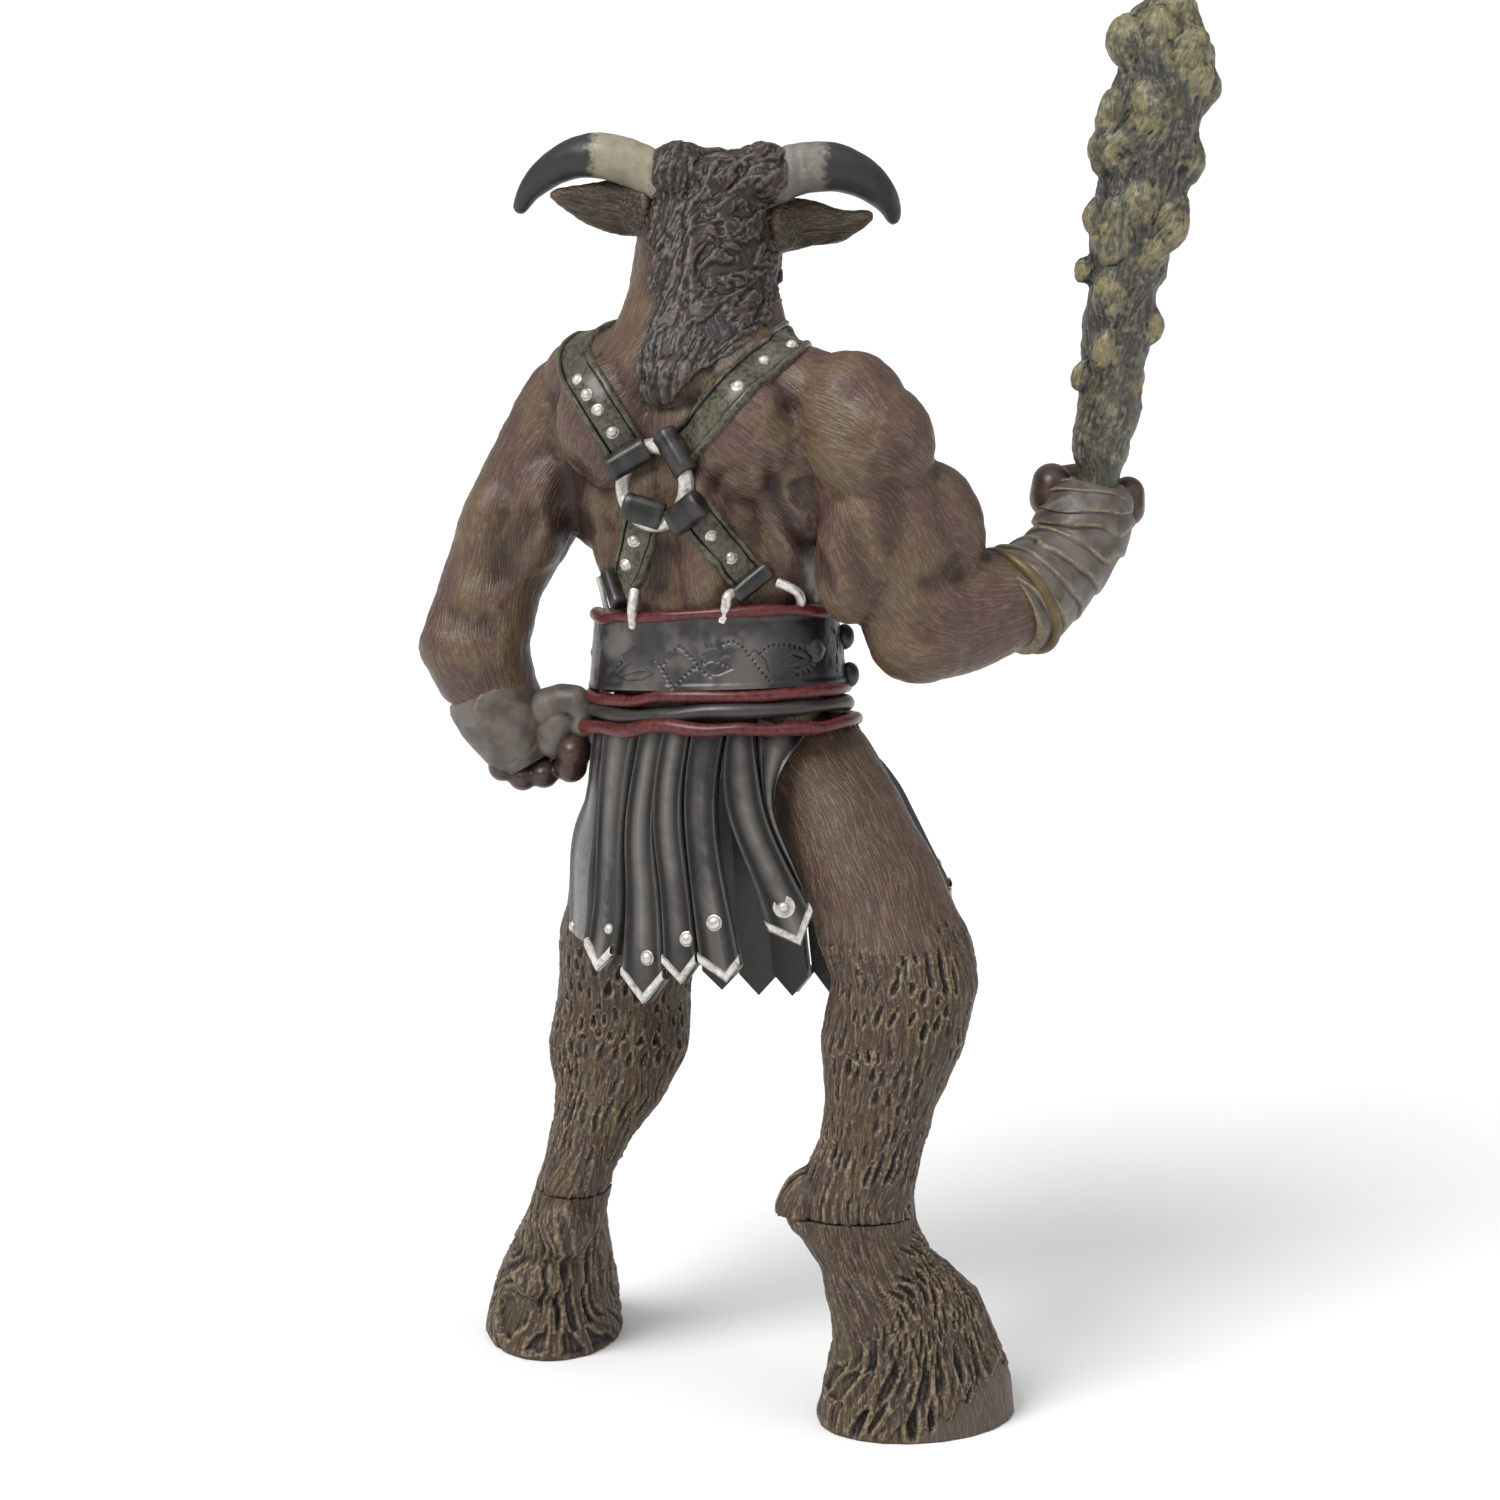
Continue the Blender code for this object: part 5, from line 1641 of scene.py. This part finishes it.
# Strips as the photo shows them: left and right edge in pixels, lift, place of the point across, its length.
SEEN_STRIPS = [
    ([(592, 727), (587, 763), (582, 793), (577, 830), (573, 867), (571, 934)],
     [(613, 727), (608, 763), (603, 797), (601, 823), (597, 853), (588, 932)], 0.0, 0.0, 0.3),
    (EDGE_A,
     [(643, 727), (637, 757), (630, 777), (627, 823), (627, 863), (628, 907), (622, 948)], 0.45, 0.0, 2.0),
    ([(643, 727), (637, 757), (631, 777), (628, 803), (627, 837), (630, 873), (628, 907), (627, 943),
      (625, 980)], [*EDGE_B, (667, 976)], 0.05, 0.0, 2.6),
    ([*EDGE_B, (667, 968)], [*EDGE_C, (700, 960)], 0.4, 0.0, 2.0),
    ([*EDGE_C, (702, 966)],
     [(727, 727), (720, 763), (717, 790), (717, 823), (720, 857), (728, 890), (737, 923), (742, 955)],
     0.4, 0.1, 2.2),
    ([(727, 727), (722, 763), (720, 790), (727, 820), (740, 853), (753, 883), (762, 912), (768, 934)],
     [(753, 727), (757, 763), (762, 790), (764, 817), (777, 843), (790, 873), (801, 893), (810, 910)],
     0.6, 0.0, 2.5),
    ([(753, 727), (757, 763), (762, 785), (764, 817), (777, 843), (789, 870), (799, 890)],
     [(806, 727), (783, 757), (769, 780), (770, 812), (783, 840), (795, 868), (802, 888)], 0.2, 0.0, 0.2),
]
# The outer edge of the strip that shows behind the right thigh, in pixels.
THIGH_STRIP = np.array([
    (861, 745), (880, 765), (897, 789), (919, 827), (935, 859), (945, 877), (953, 904),
])
# Studs of the strips: pixel, radius and how much wider the collar is.
SEEN_STUDS = [
    (573, 926, 0.55, 1.15), (609, 929, 0.52, 1.15), (647, 958, 0.66, 1.15), (687, 939, 0.66, 1.15),
    (714, 923, 0.7, 1.15), (784, 907, 0.5, 2.2),
]


HIDDEN_STRIPS = (-167, -153, -138, -122, -106, 112, 124, 138, 152, 166, 180)  # angles from the back's middle
STRIP_ROWS = 26
SMOOTH_ROWS = 40
# The section of a strip with beaded edges, as shares of its width and of its thickness.
STRIP_ACROSS = np.array(
    [-0.5, -0.5, -0.48, -0.45, -0.41, -0.36, -0.16, 0.16, 0.36, 0.41, 0.45, 0.48, 0.5, 0.5]
)
STRIP_HEIGHT = np.array([-0.8, 0.3, 0.62, 0.78, 0.7, 0.56, 0.74, 0.74, 0.56, 0.7, 0.78, 0.62, 0.3, -0.8])
# Round that section: how far painted shade darkens the sides and grooves, and how far painted sheen lightens
# the beads and the middle.
STRIP_PAINTED_SHADE = [0.9, 0.9, 0.5, 0.1, 0.5, 0.6, 0, 0, 0, 0.6, 0.5, 0.1, 0.5, 0.9, 0.9, 0.9]
STRIP_PAINTED_SHEEN = [0, 0, 0.1, 0.5, 0.3, 0, 0.4, 1, 0.4, 0, 0.3, 0.5, 0.1, 0, 0, 0]


def strip_between(trees, left, right, count=STRIP_ROWS):
    """Places, normals and widths of a strip between edges drawn on the photo, laid on the nearest piece."""
    rows = []
    for edge in (left, right):
        edge = np.array(edge, float)
        gaps = np.concatenate([[0], np.cumsum(np.linalg.norm(np.diff(edge, axis=0), axis=1))])
        spots = np.linspace(0, gaps[-1], count)
        row = []
        for px, py in zip(np.interp(spots, gaps, edge[:, 0]), np.interp(spots, gaps, edge[:, 1])):
            row.append(seen(trees, px, py)[0])
        rows.append(np.array(row))
    for row in rows:
        evened(row, 12)
    across = rows[1] - rows[0]
    places = (rows[0] + rows[1]) / 2
    normals = np.cross(np.gradient(places, axis=0), across)
    middle = np.array(ray_of(PICTURE / 2, PICTURE / 2)[1])
    normals *= -np.sign((normals * middle).sum(axis=1))[:, None]
    evened(normals, 8)
    return places, normals, np.linalg.norm(across, axis=1)


def strip_paths(trees):
    """Each strip's places, normals, widths, lift, and its point's place and length. Those seen come first."""
    paths = []
    for left, right, lift, apex, point in SEEN_STRIPS:
        paths.append((*strip_between(trees, left, right), lift, apex, point))
    wide = sizes().strip_width
    for number, angle in enumerate(HIDDEN_STRIPS):
        hem = 1.05 if abs(angle) > 145 else 1.0
        rows = [skirt_place(angle, share) for share in np.linspace(0, hem, STRIP_ROWS)]
        places, normals = (np.array([row[k] for row in rows]) for k in (0, 1))
        widths = wide * np.linspace(0.94, 1.12, STRIP_ROWS)
        paths.append((places, normals, widths, 0.5 * (number % 2), 0.0, 2.2))
    knots = np.linspace(0, 1, len(THIGH_STRIP))
    places = []
    for share in np.linspace(0, 1, STRIP_ROWS):
        px, py = (np.interp(share, knots, THIGH_STRIP[:, k]) for k in (0, 1))
        places.append(place(*spot_at(px - 7, py, 1.0 + 2.0 * share)))
    normals = np.tile((0.95, 0.3, 0.1), (STRIP_ROWS, 1))
    paths.append((np.array(places), normals, np.full(STRIP_ROWS, wide), 0.0, 0.0, 2.2))
    return paths


class MINOTAUR_OT_skirt(bpy.types.Operator):
    """The skirt of leather strips, each with a silver point and a stud"""

    bl_idname = "minotaur.skirt"
    bl_label = "Skirt"

    def execute(self, context):
        thick = sizes().strip_thickness / MM
        shares = np.linspace(-0.08, 1.15, 12)
        form_rows = [[skirt_place(angle, share)[0] for angle in range(-180, 180, 6)] for share in shares]
        form = grid_mesh("skirt_form", np.array(form_rows), loop_u=True)
        trees = [tree_of(obj) for obj in (form, bpy.data.objects["right_leg"], bpy.data.objects["left_leg"])]
        strips, trims = [], []
        for number, (places, normals, widths, lift, apex, point) in enumerate(strip_paths(trees)):
            ribbon = Ribbon(places, normals)
            columns = np.append(np.insert(STRIP_ACROSS, 7, apex), apex)
            heights = np.append(np.insert(STRIP_HEIGHT, 7, 0.8), -0.8)
            share = np.linspace(0, 1, SMOOTH_ROWS)[:, None]
            wide = np.interp(share[:, 0], np.linspace(0, 1, len(widths)), widths * 0.985)
            seen_strip = number < len(SEEN_STRIPS)
            reach = point * MM * seen_strip
            slope = np.abs(columns - apex) / (0.5 + abs(apex)) * point * MM
            v = share * (ribbon.length + reach - slope)[None, :]
            curl = 0.16 * np.sin(v / MM / 4.3 + number * 2.1) + 0.1 * np.sin(v / MM / 1.9 + number)
            high = (heights[None, :] * thick + lift + curl) * MM
            points = ribbon.at(columns[None, :] * wide[:, None], v, high)
            strips.append(grid_mesh("strip", points, loop_u=True, caps=True))
            if point < 1:
                continue
            across = np.insert(np.linspace(-0.5, 0.5, 14), 7, apex)
            across.sort()
            edge = ribbon.length + reach - np.abs(across - apex) / (0.5 + abs(apex)) * point * MM
            lines = []
            for back, up in ((1.15, 0.2), (1.1, 0.9), (0.9, 1.2), (0.3, 1.2), (0.08, 0.9), (0.14, 0.2)):
                level = (up * thick + lift + curl[-1, 6]) * MM
                lines.append(ribbon.at(across * wide[-1], edge - back * MM, level))
            trims.append(grid_mesh("trim", np.array(lines), loop_v=True))
            if not seen_strip:
                knot = ribbon.length - 4.4 * MM
                spot = Vector(ribbon.at(0.0, knot, (0.66 * thick + lift + curl[-5, 6]) * MM))
                trims.append(dome(spot, ribbon.turned(knot), 0.62 * MM, 0.6 * MM, 1.2))
        bpy.data.objects.remove(form, do_unlink=True)
        trees = [tree_of(obj) for obj in strips]
        for px, py, radius, collar in SEEN_STUDS:
            trims.append(stud_seen(trees, px, py, radius, radius * 0.95, collar))
        skirt = joined(strips, "skirt_strips")
        store_relief(skirt, None, 0.08, 0.45)
        points, normals = read(skirt)
        # Painted shade: the inner faces of the front strips, seen through the gaps, are darkened, most near
        # the top.
        inner = step(points[:, 1], 3, 8) * step(-normals[:, 1], 0.0, 0.4)
        rounds = len(points) // len(STRIP_PAINTED_SHADE)
        inner *= 0.35 + 0.6 * step(points[:, 2], 43, 50)
        attribute(skirt, "deep", np.maximum(inner, np.tile(STRIP_PAINTED_SHADE, rounds)))
        # Painted sheen down the middle of each strip and on its beads, broken into patches.
        patchy = step(noise(points * (1, 1, 0.3), 2.2, 87) + 0.3 * noise(points, 0.6, 88), 0.35, 0.95)
        attribute(skirt, "wear_and_sheen", 0.75 * patchy * np.tile(STRIP_PAINTED_SHEEN, rounds))
        finish_piece(skirt, "skirt_strips", "painted_pvc_leather", angle=50)
        silver = joined(trims, "skirt_silver")
        outwards(silver)
        store_relief(silver, None, 0.08, 0.4)
        finish_piece(silver, "skirt_silver", "silver_enamel", angle=50)
        return {"FINISHED"}


def sleeve(name, stations, turns, tilt, high, seed):
    """A limb wrapped in cloth: stations of place and radius, the strips' edges stepped in a tilted spiral."""
    places = np.array([s[0] for s in stations], float)
    radii = np.array([s[1] for s in stations], float)
    knots = np.linspace(0, 1, len(places))
    rows = np.linspace(0, 1, 140)
    centre = np.stack([np.interp(rows, knots, places[:, k]) for k in range(3)], axis=1)
    radius = np.interp(rows, knots, radii)
    evened(centre, 36)
    evened(radius, 36)
    axis = unit(np.gradient(centre, axis=0))
    side = unit(np.cross(axis, (0, 1.0, 0)))
    over = np.cross(side, axis)
    angles = np.linspace(0, 2 * math.pi, 97)[:-1]
    v, a = np.meshgrid(rows, angles, indexing="ij")
    ring = np.stack([np.cos(a), np.sin(a), 0 * a], axis=-1).reshape(-1, 3)
    jitter = (noise(ring * 2 + np.stack([v.ravel() * 5] * 3, axis=1), 1.0, seed) - 0.5).reshape(v.shape)
    phase = (v * turns + a / (2 * math.pi) + tilt * np.cos(a) + 0.7 * jitter) % 1
    crumple = (noise(ring * 3 + v.ravel()[:, None] * (9, 7, 5), 1.0, seed + 1) - 0.5).reshape(v.shape)
    step_up = high * (1 - phase) ** 1.3 * step(phase, 0.0, 0.16)
    reach = radius[:, None] + step_up + 0.8 * high * crumple - 0.15
    out = side[:, None] * np.cos(a)[..., None] + over[:, None] * np.sin(a)[..., None]
    points = centre[:, None] + out * reach[..., None]
    return grid_mesh(name, (points + np.array(FIGURE_AT)) * MM, loop_u=True, caps=True)


# Wrapped limbs on the photo: pixel, distance forward and radius.
RIGHT_SLEEVE = [
    (1004, 609, -4.0, 5.2), (1016, 600, -3.0, 5.55), (1032, 591, -1.8, 5.2), (1054, 573, 0.2, 4.7),
    (1073, 550, 1.8, 4.55), (1083, 524, 2.6, 5.05), (1087, 503, 3.0, 4.9), (1091, 487, 3.4, 3.6),
]
BACK_OF_HAND = [
    (1070, 490, 2.8, (1.5, 1.8, 1.4)), (1084, 506, 1.8, (3.2, 2.6, 2.0)), (1112, 506, 2.4, (2.2, 2.4, 1.9)),
    (1119, 496, 3.2, (1.0, 1.6, 1.2)),
]
LEFT_SLEEVE = [
    (486, 684, 7.4, 4.4), (491, 692, 7.2, 4.9), (501, 712, 6.8, 4.75), (514, 735, 6.2, 4.2),
    (523, 752, 5.8, 3.7), (530, 764, 5.6, 2.7),
]
LEFT_THUMB = [
    (548, 708, 5.0, 2.1), (562, 700, 4.2, 1.7), (575, 700, 3.8, 1.55), (585, 712, 3.6, 1.35),
    (583, 726, 3.6, 1.3), (560, 722, 4.2, 1.8), (552, 738, 4.4, 2.0),
]


class MINOTAUR_OT_arm_wraps(bpy.types.Operator):
    """Cloth wraps round both forearms and hands, and a gold band above the right one"""

    bl_idname = "minotaur.arm_wraps"
    bl_label = "Arm wraps"

    def execute(self, context):
        right = sleeve("right_wrap", stations_at(RIGHT_SLEEVE), 8.0, 0.35, 0.36, 5)
        hand = fused(chain(curved(stations_at(BACK_OF_HAND))), "back_of_hand", FINE_GRAIN, 6)
        right = joined([right, hand], "right_wrap")
        store_relief(right, None, 0.05, 0.25)
        px, py = pixels_of(read(right)[0])
        # Painted shadow: a dark patch on the back of the right hand.
        attribute(right, "deep", 0.8 * np.exp(-(((px - 1060) / 17) ** 2) - ((py - 498) / 24) ** 2))
        finish_piece(right, "right_wrap", "painted_pvc_wrap")
        left = sleeve("left_wrap", stations_at(LEFT_SLEEVE), 1.6, 0.1, 0.14, 9)
        thumb = stations_at(LEFT_THUMB)
        thumb = fused(chain(thumb[:5]) + chain(thumb[5:]), "left_thumb", FINE_GRAIN, 5)
        left = joined([left, thumb], "left_wrap")
        store_relief(left, None, 0.05, 0.25)
        finish_piece(left, "left_wrap", "painted_pvc_wrap")
        axis = Vector(spot_at(1054, 574, 0.2)) - Vector(spot_at(1012, 605, -3.2))
        bpy.ops.object.select_all(action="DESELECT")
        bpy.ops.mesh.primitive_torus_add(
            major_radius=5.5 * MM, minor_radius=0.55 * MM, major_segments=72, minor_segments=14,
            location=place(*spot_at(1015, 601, -3.0)), rotation=axis.to_track_quat("Z", "Y").to_euler(),
        )
        band = joined([bpy.context.object], "arm_band")
        store_relief(band, None)
        finish_piece(band, "arm_band", "gold_enamel")
        return {"FINISHED"}


# Knobs seen on the photo: pixel, distance forward and radius in millimetres. The hidden side has its own.
CLUB_KNOTS = [
    (1177, 22, 3.0, 2.4), (1133, 42, 2.8, 2.6), (1184, 48, 1.6, 2.6), (1199, 56, 4.0, 1.6),
    (1160, 30, 1.6, 2.4), (1203, 92, 3.0, 1.9), (1192, 80, 1.4, 2.0), (1116, 114, 2.6, 2.1),
    (1150, 108, 0.6, 2.4), (1102, 154, 3.0, 1.7), (1118, 150, 1.6, 1.8), (1184, 160, 2.4, 2.0),
    (1098, 214, 3.0, 1.6), (1116, 230, 1.2, 2.4), (1168, 222, 1.8, 2.2), (1140, 200, 0.8, 1.8),
    (1081, 270, 3.2, 1.1), (1112, 292, 1.2, 1.9), (1150, 328, 3.0, 1.4), (1080, 376, 3.2, 1.2),
    (1136, 384, 3.0, 1.2), (1150, 250, 1.4, 1.8), (1106, 350, 1.2, 1.4), (1150, 60, 7.6, 2.4),
    (1180, 110, 7.8, 2.2), (1130, 170, 7.4, 2.2), (1150, 240, 7.2, 2.0), (1110, 310, 6.6, 1.7),
    (1170, 30, 7.4, 2.0),
]


class MINOTAUR_OT_club(bpy.types.Operator):
    """The branch club: knobs, grooved bark and a smooth grip"""

    bl_idname = "minotaur.club"
    bl_label = "Club"

    def execute(self, context):
        shapes = chain(curved(CLUB_AXIS))
        knots = [(np.array(spot_at(px, py, forward)), radius) for px, py, forward, radius in CLUB_KNOTS]
        for spot, radius in knots:
            high = np.interp(spot[2], [126, 133], [1.5, 1.0])
            shapes.append(rounded(tuple(spot), (radius * 0.96, radius * 0.88, radius * high), (0, 8, 0)))
        club = fused(shapes, "branch_club", CLUB_GRAIN, 25)
        points, normals = read(club)
        pairs = edges_of(club)
        broad = below_rings(points, normals, pairs, FORM_RINGS)
        flow = flow_over(points, normals, chain_guides(CLUB_AXIS))
        side = np.cross(flow, normals)
        near = np.zeros((len(points), 3))
        for spot, radius in knots:
            off = points - spot
            weight = np.exp(-((off**2).sum(axis=1)) / (2 * (radius * 1.1) ** 2))
            near += weight[:, None] * off / radius
        sweep = (near * side).sum(axis=1)
        flow = swirled(flow, normals, 0.9 * np.clip(sweep, -1, 1) + 0.9 * (noise(points, 3.5, 2) - 0.5))
        bark = streaks(points, flow, 0.62, 4.0, 5, 11)
        fine = streaks(points, flow, 0.34, 2.4, 6)
        bare = step(points[:, 2], 92.5, 95.0)
        deep = sizes().bark_depth / MM
        valley = step(broad, -0.3, 0.5)
        grain = noise(points, 0.6, 17) + 0.6 * noise(points, 0.35, 18) - 0.8
        groove = deep * (0.1 + 0.5 * valley) * step(bark, 0.4, 0.2)
        push = bare * (0.1 - groove + 0.08 * (fine - 0.5) + 0.16 * grain)
        push += bare * (0.8 * (noise(points, 3.0, 9) - 0.5) + 0.4 * (noise(points, 1.5, 10) - 0.5))
        write(club, points + normals * push[:, None])
        store_relief(club, flow, 0.06, 0.35)
        reach = np.min([np.linalg.norm(points - spot, axis=1) / radius for spot, radius in knots], axis=0)
        edge = 1.3 - reach + 0.9 * (noise(points, 1.3, 15) - 0.5) + 0.4 * (fine - 0.5) + 0.3 * grain
        tan = step(edge, 0.0, 0.45)
        low = step(points[:, 2], 112, 98)
        tan = np.maximum(tan, 0.8 * low * step(noise(points, 1.6, 16) + 0.8 * (fine - 0.5), 0.5, 0.75))
        attribute(club, "knob", 0.85 * tan)
        moss = step(noise(points, 0.9, 19) + 0.7 * noise(points, 0.4, 20) + 0.3 * bark, 0.95, 1.3)
        attribute(club, "moss", 0.75 * moss)
        # Painted shade: the valleys between the knobs, and the bark away from them, are darkened.
        sunk = np.maximum(step(broad, -0.05, 0.2), step(reach + 0.3 * grain, 1.15, 1.55) * (1 - 0.6 * low))
        attribute(club, "valley", 0.85 * bare * sunk)
        finish_piece(club, "branch_club", "painted_pvc_bark", "club")
        return {"FINISHED"}


# Broad softboxes far off, from the upper left, the right and above: azimuth, elevation, spread and power.
LAMPS = [
    ("key", -46, 47, 34, 2.65),
    ("fill", 60, 40, 70, 0.6),
    ("top", -30, 80, 60, 0.5),
]


class MINOTAUR_OT_stage(bpy.types.Operator):
    """Pale floor, soft studio lights and the photo's camera"""

    bl_idname = "minotaur.stage"
    bl_label = "Stage"

    def execute(self, context):
        bpy.ops.object.select_all(action="DESELECT")
        bpy.ops.mesh.primitive_plane_add(size=40, location=(0, 0, -0.0001))
        floor = bpy.context.object
        floor.name = "floor"
        # Matt white paper: nearly white, with no shine.
        sheet = bpy.data.materials.new("studio_paper")
        sheet.use_nodes = True
        shader = sheet.node_tree.nodes["Principled BSDF"]
        shader.inputs["Base Color"].default_value = linear("#F4F4F4")
        shader.inputs["Roughness"].default_value = 0.9
        floor.data.materials.append(sheet)
        start, ahead, _ = camera_frame()
        camera = bpy.data.objects.new("camera", bpy.data.cameras.new("camera"))
        camera.data.lens, camera.data.sensor_width = LENS, SENSOR
        camera.data.clip_start = 0.01
        camera.location = start
        camera.rotation_euler = ahead.to_track_quat("-Z", "Y").to_euler()
        context.scene.collection.objects.link(camera)
        context.scene.camera = camera
        for name, azimuth, elevation, spread, power in LAMPS:
            lamp = bpy.data.objects.new(name, bpy.data.lights.new(name, "SUN"))
            lamp.data.energy = power
            lamp.data.angle = math.radians(spread)
            turn, rise = math.radians(azimuth), math.radians(elevation)
            level = math.cos(rise)
            out = Vector((math.sin(turn) * level, -math.cos(turn) * level, math.sin(rise)))
            lamp.rotation_euler = out.to_track_quat("Z", "Y").to_euler()
            context.scene.collection.objects.link(lamp)
        world = bpy.data.worlds.new("studio")
        world.use_nodes = True
        sky = world.node_tree.nodes["Background"]
        sky.inputs["Color"].default_value = linear("#FFFFFF")
        sky.inputs["Strength"].default_value = 0.4
        context.scene.world = world
        context.scene.view_settings.view_transform = "Standard"
        return {"FINISHED"}


class MINOTAUR_PT_panel(bpy.types.Panel):
    """Sizes, paints and pieces of the toy"""

    bl_label = "Toy minotaur"
    bl_idname = "MINOTAUR_PT_panel"
    bl_space_type = "VIEW_3D"
    bl_region_type = "UI"
    bl_category = "Toy minotaur"

    def draw(self, context):
        for group in (context.scene.minotaur_sizes, context.scene.minotaur_paints):
            for key in group.__annotations__:
                self.layout.prop(group, key)
        for operator in OPERATORS:
            self.layout.operator(operator.bl_idname)


OPERATORS = (
    MINOTAUR_OT_upper_body,
    MINOTAUR_OT_legs,
    MINOTAUR_OT_lower_legs,
    MINOTAUR_OT_mane,
    MINOTAUR_OT_horns_and_ears,
    MINOTAUR_OT_harness,
    MINOTAUR_OT_belt,
    MINOTAUR_OT_skirt,
    MINOTAUR_OT_arm_wraps,
    MINOTAUR_OT_club,
    MINOTAUR_OT_stage,
)
CLASSES = (MinotaurSizes, MinotaurPaints, *OPERATORS, MINOTAUR_PT_panel)


def register():
    for cls in CLASSES:
        bpy.utils.register_class(cls)
    bpy.types.Scene.minotaur_sizes = bpy.props.PointerProperty(type=MinotaurSizes)
    bpy.types.Scene.minotaur_paints = bpy.props.PointerProperty(type=MinotaurPaints)


def unregister():
    del bpy.types.Scene.minotaur_paints
    del bpy.types.Scene.minotaur_sizes
    for cls in reversed(CLASSES):
        bpy.utils.unregister_class(cls)


def main():
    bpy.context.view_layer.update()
    register()
    for operator in OPERATORS:
        group, name = operator.bl_idname.split(".")
        getattr(getattr(bpy.ops, group), name)()


if __name__ == "__main__":
    main()
